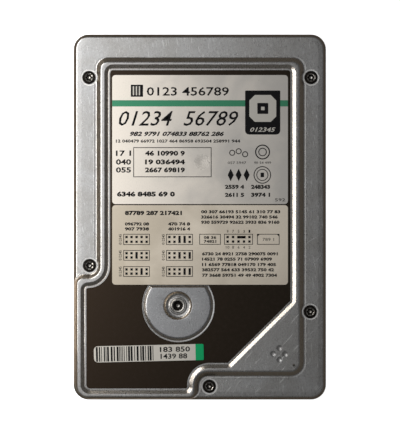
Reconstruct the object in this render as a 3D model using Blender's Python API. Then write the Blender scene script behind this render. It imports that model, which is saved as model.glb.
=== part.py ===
"""A 3.5-inch hard disk drive as an assembly of separate pieces.

Lengths are in millimetres and become metres where a mesh is made. The origin is the middle of the
underside, +Z is up through the cover, and the connectors are at the -Y end. Three groups move: the
spindle rotor, the head actuator, and the jumper shunt that slides off its pins.
"""

import math

import bmesh
import bpy
from mathutils import Matrix, Vector

MM = 0.001

# Overall size, and the heights of the levels that the pieces share
HALF_X = 50.8
HALF_Y = 73.5
CORNER = 6.0
BOARD_BOTTOM = 3.0
BOARD_TOP = 4.6
DECK_BOTTOM = 6.2
FLOOR = 9.0
RAIL_TOP = 12.0
ROOM_TOP = 13.4
LEDGE = 22.0
RIM = 22.5
COVER_BOTTOM = 22.8
FLANGE_TOP = 24.1
HOLLOW_TOP = 24.0
SEAT = 23.3
POCKET_FLOOR = 25.2
CREST = 26.1
SHEET = (25.25, 25.45)
LABEL = (25.5, 25.6)

# The two fixed axes, and the five screws that hold the cover down
SPINDLE = (0.0, 21.8)
PIVOT = (-8.8, -35.6)
COVER_SCREWS = {
    "cover_screw_front_left": (-44.6, 56.1),
    "cover_screw_front_right": (44.7, 56.1),
    "cover_screw_side_left": (-44.4, -19.5),
    "cover_screw_side_right": (44.4, -38.1),
    "cover_screw_rear": (3.8, -68.1),
}
BOARD_SCREWS = {
    "board_screw_front_left": (-39.0, 41.0),
    "board_screw_front_right": (39.0, 41.0),
    "board_screw_side": (-39.0, -12.0),
}
SHAFT = 2.5
SHAFT_BORE = 1.3
FIT = 0.05
DRILLED = 1.6

# Outlines as corners (x, y, radius), counter-clockwise
CAVITY = [
    (48.5, 70.3, 48.4), (-48.5, 70.3, 48.4), (-48.5, -12.5, 2.5), (-38.6, -12.5, 3.0),
    (-38.6, -26.0, 4.0), (-47.0, -26.0, 3.0), (-47.0, -62.5, 5.0), (8.5, -62.5, 4.0),
    (37.0, -34.0, 5.0), (37.0, -22.0, 3.0), (48.5, -22.0, 4.0),
]
PLATEAU = [
    (39.6, 62.3, 2.6), (-39.6, 62.3, 2.6), (-39.6, -25.0, 5.3), (-49.1, -25.0, 1.8),
    (-49.1, -72.2, 4.0), (-2.5, -72.2, 1.8), (-2.5, -61.9, 5.8), (39.6, -61.9, 3.4),
]
POCKET = [
    (38.4, 61.6, 3.5), (-38.4, 61.6, 3.5), (-38.4, -26.2, 6.4), (-47.9, -26.2, 3.0),
    (-47.9, -71.2, 3.9), (-2.8, -71.2, 3.0), (-2.8, -60.9, 6.6), (12.2, -60.9, 2.5),
    (38.4, -34.6, 3.0),
]
SLOPE_RUN = 2.2
POCKET_WALL = 1.6
SHEET_INSET = 2.05

# Rotating group
PLATTERS = (12.2, 15.2, 18.2)
PLATTER_THICK = 0.8
PLATTER_RADIUS = 47.5
PLATTER_BORE = 12.5

# Swinging group, drawn with the arms along +X and parked at this angle
PARKED = 61.5
ARMS = (10.6, 13.6, 16.6, 19.6)
ARM_THICK = 1.0
HEAD_REACH = 51.0
ARM_GAP = 0.6
COIL_SIDE = 226.7

# Connectors
PITCH = 2.54
PIN = 0.32
PLUG_BACK = -64.5
PLUG_FACE = -73.3
PLUG_TOP = 13.2
JUMPER_X = 18.4
JUMPER_ROWS = (7.6, 10.14)
SHUNT_GAP = 0.12


def clear_scene():
    for obj in list(bpy.data.objects):
        bpy.data.objects.remove(obj, do_unlink=True)


def look(name, colour, roughness, metallic=0.0):
    """A plain Principled material."""
    material = bpy.data.materials.new(name)
    material.use_nodes = True
    shader = material.node_tree.nodes["Principled BSDF"]
    shader.inputs["Base Color"].default_value = (*colour, 1.0)
    shader.inputs["Roughness"].default_value = roughness
    shader.inputs["Metallic"].default_value = metallic
    return material


# Outlines


def rounded_box(half_x, half_y, radius, x=0.0, y=0.0):
    return [
        (x + half_x, y + half_y, radius), (x - half_x, y + half_y, radius),
        (x - half_x, y - half_y, radius), (x + half_x, y - half_y, radius),
    ]


def sides(corners, k):
    """Unit directions from corner k to the corners before and after it, and the corner itself."""
    here = Vector(corners[k][:2])
    before = (Vector(corners[k - 1][:2]) - here).normalized()
    after = (Vector(corners[(k + 1) % len(corners)][:2]) - here).normalized()
    return here, before, after


def grow(corners, distance):
    """The outline moved outward by a distance: outer corners get rounder and inner ones sharper."""
    grown = []
    for k, (_, _, radius) in enumerate(corners):
        here, before, after = sides(corners, k)
        turn = math.pi - before.angle(after)
        convex = before.cross(after) < 0
        middle = (before + after).normalized()
        sign = -1 if convex else 1
        moved = here + middle * sign * distance / math.cos(turn / 2)
        grown.append((moved.x, moved.y, max(radius - sign * distance, 0.05)))
    return grown


def within(corners, half_x, half_y):
    """The outline kept inside a box, corner by corner."""
    return [
        (max(-half_x, min(half_x, x)), max(-half_y, min(half_y, y)), radius)
        for x, y, radius in corners
    ]


def arc_parts(turn, radius):
    """How many straight lengths stand for the round of a corner."""
    step = 7.5 if radius > 20 else 18 if radius > 2.4 else 30
    return max(2, round(math.degrees(turn) / step))


def outline(corners, like=None):
    """The points along an outline. The like outline settles how many points each corner gets."""
    points = []
    for k, (_, _, radius) in enumerate(corners):
        here, before, after = sides(corners, k)
        turn = math.pi - before.angle(after)
        sense = -1 if before.cross(after) > 0 else 1
        centre = here + (before + after).normalized() * radius / math.cos(turn / 2)
        start = here + before * radius * math.tan(turn / 2) - centre
        parts = arc_parts(turn, (like or corners)[k][2])
        for step in range(parts + 1):
            points.append(centre + Matrix.Rotation(sense * turn * step / parts, 2) @ start)
    return points


def circle(radius, parts, x=0.0, y=0.0):
    return [
        Vector((x + radius * math.cos(math.tau * k / parts), y + radius * math.sin(math.tau * k / parts)))
        for k in range(parts)
    ]


def polar(radius, degrees):
    angle = math.radians(degrees)
    return Vector((radius * math.cos(angle), radius * math.sin(angle)))


def sector(inner, outer, half_angle, middle, parts):
    """An annular sector about the origin."""
    steps = [middle - half_angle + 2 * half_angle * k / parts for k in range(parts + 1)]
    return [polar(outer, a) for a in steps] + [polar(inner, a) for a in reversed(steps)]


def flat_disc(radius, flat, parts):
    """A circle cut off by a straight flat on its +Y side."""
    end = math.degrees(math.asin(flat / radius))
    return [polar(radius, 180 - end + (180 + 2 * end) * k / parts) for k in range(parts + 1)]


def star(radius, depth, parts):
    """A six-lobed socket outline."""
    return [
        polar(radius + depth * math.cos(6 * math.tau * k / parts), 360 * k / parts)
        for k in range(parts)
    ]


# Solids


def add_loft(bm, levels):
    """A closed body through outlines with equally many points, each given with its height."""
    rings = [[bm.verts.new((p[0], p[1], z)) for p in points] for points, z in levels]
    for low, high in zip(rings, rings[1:]):
        for k in range(len(low)):
            bm.faces.new((low[k - 1], low[k], high[k], high[k - 1]))
    bm.faces.new(rings[0])
    bm.faces.new(rings[-1])


def add_turned(bm, profile, parts, x=0.0, y=0.0):
    """A ring about a vertical axis from a closed profile of (radius, z)."""
    rings = [[bm.verts.new((*p, z)) for p in circle(radius, parts, x, y)] for radius, z in profile]
    for k, ring in enumerate(rings):
        for step in range(parts):
            bm.faces.new((rings[k - 1][step - 1], rings[k - 1][step], ring[step], ring[step - 1]))


def add_plate(bm, loops, bottom, top):
    """A flat plate: the first loop is its edge and the others are holes."""
    edges = []
    for points in loops:
        ring = [bm.verts.new((p[0], p[1], bottom)) for p in points]
        edges += [bm.edges.new((ring[k - 1], ring[k])) for k in range(len(ring))]
    filled = bmesh.ops.triangle_fill(bm, use_beauty=True, use_dissolve=False, edges=edges)
    faces = [part for part in filled["geom"] if isinstance(part, bmesh.types.BMFace)]
    raised = bmesh.ops.extrude_face_region(bm, geom=faces)["geom"]
    lifted = [part for part in raised if isinstance(part, bmesh.types.BMVert)]
    bmesh.ops.translate(bm, vec=(0.0, 0.0, top - bottom), verts=lifted)


def add_box(bm, low, high):
    corners = [(low[0], low[1]), (high[0], low[1]), (high[0], high[1]), (low[0], high[1])]
    add_loft(bm, [(corners, low[2]), (corners, high[2])])


def add_rod_y(bm, x, z, radius, start, end, parts):
    """A round rod along Y."""
    rings = [
        [bm.verts.new((x + p.x, y, z + p.y)) for p in circle(radius, parts)] for y in (start, end)
    ]
    for k in range(parts):
        bm.faces.new((rings[0][k - 1], rings[0][k], rings[1][k], rings[1][k - 1]))
    bm.faces.new(rings[0])
    bm.faces.new(rings[1])


def mesh_of(name, add):
    """A mesh from a function that adds closed bodies in millimetres."""
    bm = bmesh.new()
    add(bm)
    bmesh.ops.recalc_face_normals(bm, faces=bm.faces)
    bmesh.ops.scale(bm, vec=(MM, MM, MM), verts=bm.verts)
    mesh = bpy.data.meshes.new(name)
    bm.to_mesh(mesh)
    bm.free()
    mesh.shade_smooth()
    mesh.set_sharp_from_angle(angle=math.radians(30))
    return mesh


def link(name, mesh, at, turn, parent):
    obj = bpy.data.objects.new(name, mesh)
    bpy.context.scene.collection.objects.link(obj)
    obj.location = Vector(at) * MM
    obj.rotation_euler.z = math.radians(turn)
    obj.parent = parent
    return obj


def piece(name, shape, material, at=(0.0, 0.0, 0.0), turn=0.0, parent=None):
    """One node. The shape is a mesh, or a function that adds its bodies."""
    mesh = mesh_of(name, shape) if callable(shape) else shape
    if not mesh.materials:
        mesh.materials.append(material)
    return link(name, mesh, at, turn, parent)


def tool(name, shape, at=(0.0, 0.0, 0.0), parent=None):
    """A helper body for a Boolean, which isn't part of the drive."""
    obj = link(name, mesh_of(name, shape), at, 0.0, parent)
    obj.hide_render = True
    obj.display_type = "WIRE"
    return obj


def boolean(obj, other, operation):
    modifier = obj.modifiers.new(other.name, "BOOLEAN")
    modifier.operation = operation
    modifier.solver = "EXACT"
    modifier.object = other


def group(name, at, turn=0.0):
    """An empty that carries a moving group, on its joint's axis."""
    empty = link(name, None, at, turn, None)
    empty.empty_display_size = 10 * MM
    return empty


def screw_shape(head, head_high, shank, shank_long, socket, parts=12, socket_deep=0.6):
    """A screw with its head's underside at z = 0 and a lobed socket in the head."""

    def add(bm):
        opening = star(socket, 0.13 * socket, parts)
        add_loft(bm, [
            (circle(shank, parts), -shank_long),
            (circle(shank, parts), 0.0),
            (circle(head, parts), 0.0),
            (circle(head, parts), 0.6 * head_high),
            (circle(0.8 * head, parts), head_high),
            (opening, head_high),
            (opening, head_high - socket_deep),
        ])

    return add


# Housing


def base_casting(material):
    """The cast base: rails below, the sealed chamber above, and room for the board and connectors."""
    edge = rounded_box(HALF_X, HALF_Y, CORNER)
    upper = grow(edge, -0.2)

    def body(bm):
        add_loft(bm, [
            (outline(edge), 0.0),
            (outline(edge), RAIL_TOP),
            (outline(upper), RAIL_TOP + 0.2),
            (outline(upper), RIM),
        ])

    def chamber(bm):
        wide = grow(CAVITY, 1.2)
        add_loft(bm, [
            (outline(CAVITY), FLOOR),
            (outline(CAVITY), LEDGE),
            (outline(wide, CAVITY), LEDGE),
            (outline(wide, CAVITY), RIM + 1.0),
        ])

    def board_space(bm):
        space = outline(rounded_box(44.2, 60.0, 1.0, 0.0, -14.0))
        add_plate(bm, [space, circle(20.4, 36, *SPINDLE)], -1.0, BOARD_TOP + FIT)

    def above_board(bm):
        space = outline(rounded_box(44.2, 60.0, 1.0, 0.0, -14.0))
        bosses = [circle(3.0, 12, *at) for at in BOARD_SCREWS.values()]
        add_plate(bm, [space, circle(20.4, 36, *SPINDLE), *bosses], BOARD_TOP, DECK_BOTTOM)

    def motor_underside(bm):
        add_loft(bm, [(circle(21.0, 36, *SPINDLE), -1.0), (circle(21.0, 36, *SPINDLE), 1.4)])

    def motor_well(bm):
        add_turned(bm, [(8.4, 3.4), (17.6, 3.4), (17.6, FLOOR + 0.5), (8.4, FLOOR + 0.5)], 36, *SPINDLE)

    def stator_boss_bore(bm):
        add_loft(bm, [(circle(7.2, 36, *SPINDLE), 3.4), (circle(7.2, 36, *SPINDLE), FLOOR + 0.5)])

    def stator_boss_top(bm):
        add_loft(bm, [(circle(9.0, 36, *SPINDLE), 8.6), (circle(9.0, 36, *SPINDLE), FLOOR + 1.0)])

    def connector_room(bm):
        add_box(bm, (-48.3, -75.0, -2.0), (48.3, -64.2, ROOM_TOP))

    def front_recess(bm):
        add_plate(bm, [outline(rounded_box(44.2, 12.0, 2.0, 0.0, 58.0))], -1.0, 3.2)

    def drills(bm):
        for x, y in COVER_SCREWS.values():
            add_loft(bm, [(circle(DRILLED, 12, x, y), 14.5), (circle(DRILLED, 12, x, y), RIM + 1.0)])
        for x, y in BOARD_SCREWS.values():
            add_loft(bm, [(circle(1.1, 12, x, y), 3.0), (circle(1.1, 12, x, y), 8.3)])
        for x in (-47.625, 47.625):
            for y in (-32.22, 12.23):
                add_loft(bm, [(circle(DRILLED, 12, x, y), -1.0), (circle(DRILLED, 12, x, y), 6.0)])
        shaft_hole = SHAFT + 0.1
        add_loft(bm, [(circle(shaft_hole, 24, *SPINDLE), 0.0), (circle(shaft_hole, 24, *SPINDLE), 5.0)])
        add_loft(bm, [(circle(shaft_hole, 24, *PIVOT), 5.0), (circle(shaft_hole, 24, *PIVOT), 10.0)])
        add_box(bm, (2.0, -52.0, 5.0), (12.0, -49.0, 10.0))

    def side_drills(bm):
        for side in (-1, 1):
            for y in (-45.0, -3.4, 56.6):
                add_side_hole(bm, side, y)

    casting = piece("base_casting", body, material)
    tools = {
        "chamber_tool": chamber,
        "motor_well_tool": motor_well,
        "stator_boss_bore_tool": stator_boss_bore,
        "stator_boss_top_tool": stator_boss_top,
        "board_space_tool": board_space,
        "above_board_tool": above_board,
        "motor_underside_tool": motor_underside,
        "connector_room_tool": connector_room,
        "front_recess_tool": front_recess,
        "drills_tool": drills,
        "side_drills_tool": side_drills,
    }
    for name, shape in tools.items():
        boolean(casting, tool(name, shape), "DIFFERENCE")


def add_side_hole(bm, side, y):
    """A mounting hole drilled into a rail along X."""
    rings = [
        [bm.verts.new((side * x, y + p.x, 6.35 + p.y)) for p in circle(DRILLED, 12)]
        for x in (HALF_X - 6.0, HALF_X + 1.0)
    ]
    for k in range(12):
        bm.faces.new((rings[0][k - 1], rings[0][k], rings[1][k], rings[1][k - 1]))
    bm.faces.new(rings[0])
    bm.faces.new(rings[1])


def cover_gasket(material):
    def shape(bm):
        loops = [outline(grow(CAVITY, 1.1), CAVITY), outline(grow(CAVITY, 0.1), CAVITY)]
        add_plate(bm, loops, LEDGE + FIT, COVER_BOTTOM - FIT)

    piece("cover_gasket", shape, material)


def top_cover(material):
    """The stamped cover: a flange, a raised plateau with a sunk pocket, and a disc over the pivot."""
    edge = rounded_box(HALF_X, HALF_Y, CORNER)
    foot = within(grow(PLATEAU, SLOPE_RUN), 50.2, 73.1)

    def flange(bm):
        add_loft(bm, [
            (outline(edge), COVER_BOTTOM),
            (outline(edge), FLANGE_TOP - 0.8),
            (outline(grow(edge, -0.35), edge), FLANGE_TOP - 0.25),
            (outline(grow(edge, -1.1), edge), FLANGE_TOP),
        ])

    def plateau(bm):
        add_loft(bm, [
            (outline(foot, PLATEAU), FLANGE_TOP - 0.9),
            (outline(foot, PLATEAU), FLANGE_TOP),
            (outline(grow(PLATEAU, 0.5), PLATEAU), CREST - 0.35),
            (outline(PLATEAU), CREST),
        ])

    def pocket(bm):
        bottom = grow(POCKET, -POCKET_WALL)
        beyond = grow(POCKET, POCKET_WALL)
        add_loft(bm, [
            (outline(bottom, POCKET), POCKET_FLOOR),
            (outline(POCKET), CREST),
            (outline(beyond, POCKET), 2 * CREST - POCKET_FLOOR),
        ])

    def disc(bm):
        add_loft(bm, [
            (flat_disc(14.3, 8.0, 30), POCKET_FLOOR - 0.5),
            (flat_disc(14.3, 8.0, 30), POCKET_FLOOR),
            (flat_disc(12.5, 7.1, 30), CREST),
        ])

    def hollow(bm):
        room = grow(PLATEAU, -1.2)
        add_loft(bm, [(outline(room), COVER_BOTTOM - 0.5), (outline(room), HOLLOW_TOP)])

    def over_chamber(bm):
        room = grow(CAVITY, -0.3)
        add_loft(bm, [(outline(room, CAVITY), COVER_BOTTOM - 1.0), (outline(room, CAVITY), HOLLOW_TOP + 1.0)])

    def filter_nest(bm):
        add_box(bm, (25.8, -61.2, COVER_BOTTOM - 0.5), (39.4, -49.8, HOLLOW_TOP))

    def drills(bm):
        for x, y in COVER_SCREWS.values():
            add_loft(bm, [
                (circle(1.7, 18, x, y), COVER_BOTTOM - 1.0),
                (circle(1.7, 18, x, y), SEAT),
                (circle(2.9, 18, x, y), SEAT),
                (circle(3.3, 18, x, y), FLANGE_TOP),
                (circle(4.0, 18, x, y), FLANGE_TOP + 0.8),
            ])
        add_loft(bm, [
            (circle(1.4, 24, *SPINDLE), HOLLOW_TOP - 0.5),
            (circle(1.4, 24, *SPINDLE), 24.5),
            (circle(3.2, 24, *SPINDLE), 24.5),
            (circle(3.2, 24, *SPINDLE), CREST),
        ])
        add_loft(bm, [
            (circle(1.4, 24, *PIVOT), HOLLOW_TOP - 0.5),
            (circle(1.4, 24, *PIVOT), 24.9),
            (circle(3.7, 24, *PIVOT), 24.9),
            (circle(5.8, 24, *PIVOT), CREST),
            (circle(7.9, 24, *PIVOT), CREST + 1.2),
        ])
        for x, y in ((31.9, -52.6), (29.4, -54.9), (34.2, -55.0), (31.9, -57.2)):
            add_loft(bm, [(circle(0.7, 12, x, y), CREST - 0.4), (circle(1.6, 12, x, y), CREST + 0.4)])
        add_loft(bm, [(circle(0.5, 8, 37.8, -59.5), HOLLOW_TOP - 0.5), (circle(0.5, 8, 37.8, -59.5), CREST + 1.0)])

    cover = piece("top_cover", flange, material)
    room = tool("cover_hollow_tool", hollow)
    boolean(room, tool("over_chamber_tool", over_chamber), "INTERSECT")
    boolean(cover, tool("plateau_tool", plateau), "UNION")
    boolean(cover, tool("pocket_tool", pocket), "DIFFERENCE")
    boolean(cover, tool("pivot_disc_tool", disc, (*PIVOT, 0.0)), "UNION")
    boolean(cover, room, "DIFFERENCE")
    boolean(cover, tool("filter_nest_tool", filter_nest), "DIFFERENCE")
    boolean(cover, tool("cover_drills_tool", drills), "DIFFERENCE")


def damping_sheet(material):
    """The black sheet on the pocket floor, with a hole for the pivot disc."""

    def shape(bm):
        hole = [p + Vector(PIVOT) for p in flat_disc(14.6, 8.2, 30)]
        add_plate(bm, [outline(grow(POCKET, -SHEET_INSET), POCKET), hole], *SHEET)

    piece("damping_sheet", shape, material)


def labels(paper, beige):
    """Three stickers on the damping sheet."""

    def sticker(half_x, half_y, radius):
        def add(bm):
            add_plate(bm, [outline(rounded_box(half_x, half_y, radius))], 0.0, LABEL[1] - LABEL[0])

        return add

    piece("main_label", sticker(35.6, 25.9, 1.3), paper, (0.3, 31.1, LABEL[0]))
    piece("jumper_label", sticker(35.6, 15.97, 1.3), beige, (0.3, -11.22, LABEL[0]))
    piece("serial_label", sticker(22.05, 3.25, 0.5), paper, (-20.5, -54.7, LABEL[0]), 1.3)


def cover_screws(material):
    mesh = mesh_of("cover_screw", screw_shape(2.65, 1.25, 1.4, 7.0, 1.35, 18))
    for name, (x, y) in COVER_SCREWS.items():
        piece(name, mesh, material, (x, y, SEAT + FIT))
    piece("pivot_screw", screw_shape(2.65, 1.1, 1.15, 4.0, 1.35, 18), material, (*PIVOT, 24.95))
    piece("spindle_screw", screw_shape(3.0, 0.6, 1.15, 3.8, 1.3, 18, 0.4), material, (*SPINDLE, 24.55))


def filters(fabric):
    def breather(bm):
        add_plate(bm, [outline(rounded_box(6.6, 5.5, 1.0, 32.6, -55.5))], 22.6, 23.95)

    def recirculation(bm):
        add_plate(bm, [outline(rounded_box(5.5, 1.1, 0.4))], 0.0, 11.5)

    piece("breather_filter", breather, fabric)
    piece("recirculation_filter", recirculation, fabric, (42.3, -14.5, FLOOR + FIT), 45.0)


# Spindle motor


def shaft_shape(bottom, top, deep):
    """A shaft with a blind bore in its top end."""

    def add(bm):
        add_loft(bm, [
            (circle(SHAFT, 24), bottom),
            (circle(SHAFT, 24), top),
            (circle(SHAFT_BORE, 24), top),
            (circle(SHAFT_BORE, 24), top - deep),
        ])

    return add


def stator(core_material, copper):
    """Nine wound teeth inside the rotor magnet."""
    teeth = 9

    def turned_box(bm, tooth, inner, outer, half_width, bottom, top):
        angle = 360 / teeth * tooth
        axis = polar(1.0, angle)
        side = polar(half_width, angle + 90)
        corners = [axis * inner - side, axis * outer - side, axis * outer + side, axis * inner + side]
        add_loft(bm, [(corners, bottom), (corners, top)])

    def back_iron(bm):
        add_turned(bm, [(8.5, 5.2), (9.9, 5.2), (9.9, 8.2), (8.5, 8.2)], 27)

    def stems(bm):
        for tooth in range(teeth):
            turned_box(bm, tooth, 9.3, 13.0, 1.1, 5.3, 8.1)

    def tips(bm):
        for tooth in range(teeth):
            corners = sector(12.7, 13.6, 16.0, 360 / teeth * tooth, 2)
            add_loft(bm, [(corners, 5.2), (corners, 8.2)])

    def crossover(bm):
        add_turned(bm, [(10.3, 8.5), (11.8, 8.5), (11.8, 9.0), (10.3, 9.0)], 27)

    def bundles(bm):
        for tooth in range(teeth):
            turned_box(bm, tooth, 10.2, 12.4, 2.1, 4.5, 8.8)

    def stem_gaps(bm):
        for tooth in range(teeth):
            turned_box(bm, tooth, 9.5, 13.2, 1.2, 5.2, 8.25)

    core = piece("stator_core", back_iron, core_material, (*SPINDLE, 0.0))
    boolean(core, tool("stator_stems_tool", stems, (*SPINDLE, 0.0)), "UNION")
    boolean(core, tool("stator_tips_tool", tips, (*SPINDLE, 0.0)), "UNION")
    winding = piece("stator_winding", crossover, copper, (*SPINDLE, 0.0))
    boolean(winding, tool("bundles_tool", bundles, (*SPINDLE, 0.0)), "UNION")
    boolean(winding, tool("stem_gaps_tool", stem_gaps, (*SPINDLE, 0.0)), "DIFFERENCE")


def bearing_shape(inner, outer, bottom, top):
    def add(bm):
        add_turned(bm, [(inner, bottom), (outer, bottom), (outer, top), (inner, top)], 24)

    return add


def ring_shape(inner, outer, bottom, top, parts):
    def add(bm):
        add_plate(bm, [circle(outer, parts), circle(inner, parts)], bottom, top)

    return add


def spindle_rotor(aluminium, steel, mirror, magnet, screw):
    """Everything that turns about the fixed spindle shaft, drawn at real heights."""
    rotor = group("spindle_rotor", (*SPINDLE, 0.0))
    clamp_holes = [polar(9.2, 120 * k) for k in range(3)]

    def hub_body(bm):
        add_turned(bm, [
            (5.55, 4.8), (6.9, 4.8), (6.9, 10.2), (15.4, 10.2), (15.4, 4.4),
            (16.8, 4.4), (16.8, 12.15), (12.45, 12.15), (12.45, 18.9), (5.55, 18.9),
        ], 36)

    def hub_drills(bm):
        for at in clamp_holes:
            add_loft(bm, [(circle(1.1, 12, *at), 15.0), (circle(1.1, 12, *at), 20.0)])

    def clamp_shape(bm):
        holes = [circle(1.2, 12, *at) for at in clamp_holes]
        add_plate(bm, [circle(16.2, 36), circle(6.9, 36), *holes], 19.05, 20.2)

    hub = piece("spindle_hub", hub_body, aluminium, parent=rotor)
    boolean(hub, tool("hub_drills_tool", hub_drills, parent=rotor), "DIFFERENCE")
    piece("rotor_magnet", ring_shape(14.0, 15.3, 4.6, 9.6, 36), magnet, parent=rotor)
    piece("lower_bearing", bearing_shape(SHAFT + FIT, 5.5, 5.5, 8.5), steel, parent=rotor)
    piece("upper_bearing", bearing_shape(SHAFT + FIT, 5.5, 15.5, 18.5), steel, parent=rotor)
    platter = mesh_of("platter", ring_shape(PLATTER_BORE, PLATTER_RADIUS, 0.0, PLATTER_THICK, 60))
    for k, z in enumerate(PLATTERS):
        piece(f"platter_{k + 1}", platter, mirror, (0.0, 0.0, z), parent=rotor)
    spacer_high = PLATTERS[1] - PLATTERS[0] - PLATTER_THICK - 2 * FIT
    spacer = mesh_of("spacer", ring_shape(PLATTER_BORE, 15.5, 0.0, spacer_high, 36))
    for k, z in enumerate(PLATTERS[:-1]):
        piece(f"platter_spacer_{k + 1}", spacer, aluminium, (0.0, 0.0, z + PLATTER_THICK + FIT), parent=rotor)
    piece("disk_clamp", clamp_shape, steel, parent=rotor)
    screw_mesh = mesh_of("clamp_screw", screw_shape(1.9, 0.75, 1.0, 4.6, 0.9))
    for k, at in enumerate(clamp_holes):
        piece(f"clamp_screw_{k + 1}", screw_mesh, screw, (*at, 20.25), parent=rotor)


# Head actuator


def head_actuator(aluminium, steel, copper):
    """Everything that swings about the pivot shaft: arms and heads at +X, the coil at -X."""
    swing = group("head_actuator", (*PIVOT, 0.0), PARKED)

    def housing(bm):
        add_turned(bm, [(5.3, 10.4), (7.2, 10.4), (7.2, 20.8), (5.3, 20.8)], 24)

    def arms(bm):
        corners = [
            (34.0, 2.6, 1.5), (10.0, 6.0, 3.0), (5.6, 6.0, 1.0),
            (5.6, -6.0, 1.0), (10.0, -6.0, 3.0), (34.0, -2.6, 1.5),
        ]
        for z in ARMS:
            add_plate(bm, [outline(corners), circle(2.0, 12, 16.0, 0.0)], z, z + ARM_THICK)

    def fork(bm):
        inside = [polar(11.6, a) for a in range(162, 200, 6)]
        corners = [
            polar(6.6, 130.0), polar(9.0, 150.0), polar(20.5, 158.0), polar(20.5, 162.7),
            *inside,
            polar(20.5, 197.3), polar(20.5, 202.0), polar(9.0, 210.0), polar(6.6, 230.0), polar(6.6, 180.0),
        ]
        add_loft(bm, [(corners, 14.3), (corners, 16.9)])

    def coil(bm):
        loops = [sector(12.0, 22.3, 16.5, 180.0, 6), sector(14.6, 19.7, 8.5, 180.0, 4)]
        add_plate(bm, loops, 14.4, 16.8)

    block = piece("head_arm_block", housing, aluminium, parent=swing)
    boolean(block, tool("head_arms_tool", arms, parent=swing), "UNION")
    boolean(block, tool("coil_fork_tool", fork, parent=swing), "UNION")
    piece("pivot_bearing", bearing_shape(SHAFT + FIT, 5.2, 10.6, 20.6), steel, parent=swing)
    piece("voice_coil", coil, copper, parent=swing)
    for k, z in enumerate(PLATTERS):
        under = suspension_shape(ARMS[k] + ARM_THICK, 1)
        over = suspension_shape(ARMS[k + 1], -1)
        piece(f"suspension_{k + 1}_under", under, steel, parent=swing)
        piece(f"suspension_{k + 1}_over", over, steel, parent=swing)


def suspension_shape(arm_face, side):
    """A sprung blade on an arm's face, with the slider at its end, on the side of the platter."""
    near = arm_face + side * FIT
    far = near + side * 0.16
    slider_face = arm_face + side * (ARM_GAP - FIT)
    root = HEAD_REACH - 1.5
    sections = [
        (28.5, 2.5, far), (33.5, 2.5, far), (root, 0.9, far), (root, 0.9, slider_face),
        (HEAD_REACH + 1.0, 0.8, slider_face),
    ]

    def add(bm):
        rings = [
            [bm.verts.new(p) for p in ((x, -half, near), (x, half, near), (x, half, top), (x, -half, top))]
            for x, half, top in sections
        ]
        for low, high in zip(rings, rings[1:]):
            for k in range(4):
                bm.faces.new((low[k - 1], low[k], high[k], high[k - 1]))
        bm.faces.new(rings[0])
        bm.faces.new(rings[-1])

    return add


def magnet_yokes(steel, magnet):
    """The fixed half of the voice-coil motor: two steel plates, two magnets and two posts."""

    def at_pivot(points):
        return [p + Vector(PIVOT) for p in points]

    def lower(bm):
        plate = at_pivot(sector(10.5, 26.4, 36.0, COIL_SIDE, 10))
        add_loft(bm, [(plate, FLOOR + FIT), (plate, 11.4)])

    def posts(bm):
        for turn in (-24.0, 24.0):
            at = polar(24.4, COIL_SIDE + turn) + Vector(PIVOT)
            add_loft(bm, [(circle(1.6, 12, *at), 10.0), (circle(1.6, 12, *at), 19.65)])

    def upper(bm):
        plate = at_pivot(sector(10.5, 26.4, 36.0, COIL_SIDE, 10))
        add_loft(bm, [(plate, 19.7), (plate, 21.9)])

    def magnet_shape(bottom, top):
        def add(bm):
            body = at_pivot(sector(11.8, 22.0, 31.0, COIL_SIDE, 10))
            add_loft(bm, [(body, bottom), (body, top)])

        return add

    yoke = piece("lower_yoke", lower, steel)
    boolean(yoke, tool("yoke_posts_tool", posts), "UNION")
    piece("upper_yoke", upper, steel)
    piece("lower_magnet", magnet_shape(11.45, 13.9), magnet)
    piece("upper_magnet", magnet_shape(17.3, 19.65), magnet)


def crash_stops(rubber):
    """Soft posts that the coil's fork meets at the ends of its travel."""
    for name, angle in (("inner_crash_stop", 271.9), ("outer_crash_stop", 181.5)):
        at = polar(17.0, angle) + Vector(PIVOT)

        def shape(bm):
            add_loft(bm, [(circle(1.8, 16), FLOOR + FIT), (circle(1.8, 16), 17.5)])

        piece(name, shape, rubber, (*at, 0.0))


def flex_and_bracket(plastic, flex):
    """The ribbon to the heads, and the bracket that carries it through the base to the board."""

    def bracket(bm):
        add_box(bm, (1.0, -54.5, FLOOR + FIT), (13.0, -46.5, 10.2))

    def plug(bm):
        add_box(bm, (2.2, -51.8, BOARD_TOP + 0.2), (11.8, -49.2, 9.6))

    def ribbon(bm):
        start, bend, end = Vector((11.0, -48.0)), Vector((10.0, -38.5)), Vector((-0.6, -40.4))
        steps = [k / 12 for k in range(13)]
        route = [start * (1 - t) ** 2 + bend * 2 * t * (1 - t) + end * t * t for t in steps]
        ways = [bend - start] + [b - a for a, b in zip(route, route[2:])] + [end - bend]
        offsets = [Vector((-way.y, way.x)).normalized() * 0.1 for way in ways]
        left = [p + d for p, d in zip(route, offsets)]
        right = [p - d for p, d in zip(route, offsets)]
        add_loft(bm, [(left + right[::-1], 10.3), (left + right[::-1], 19.5)])

    holder = piece("preamp_bracket", bracket, plastic)
    boolean(holder, tool("bracket_plug_tool", plug), "UNION")
    piece("flex_cable", ribbon, flex)


# Electronics


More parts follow.
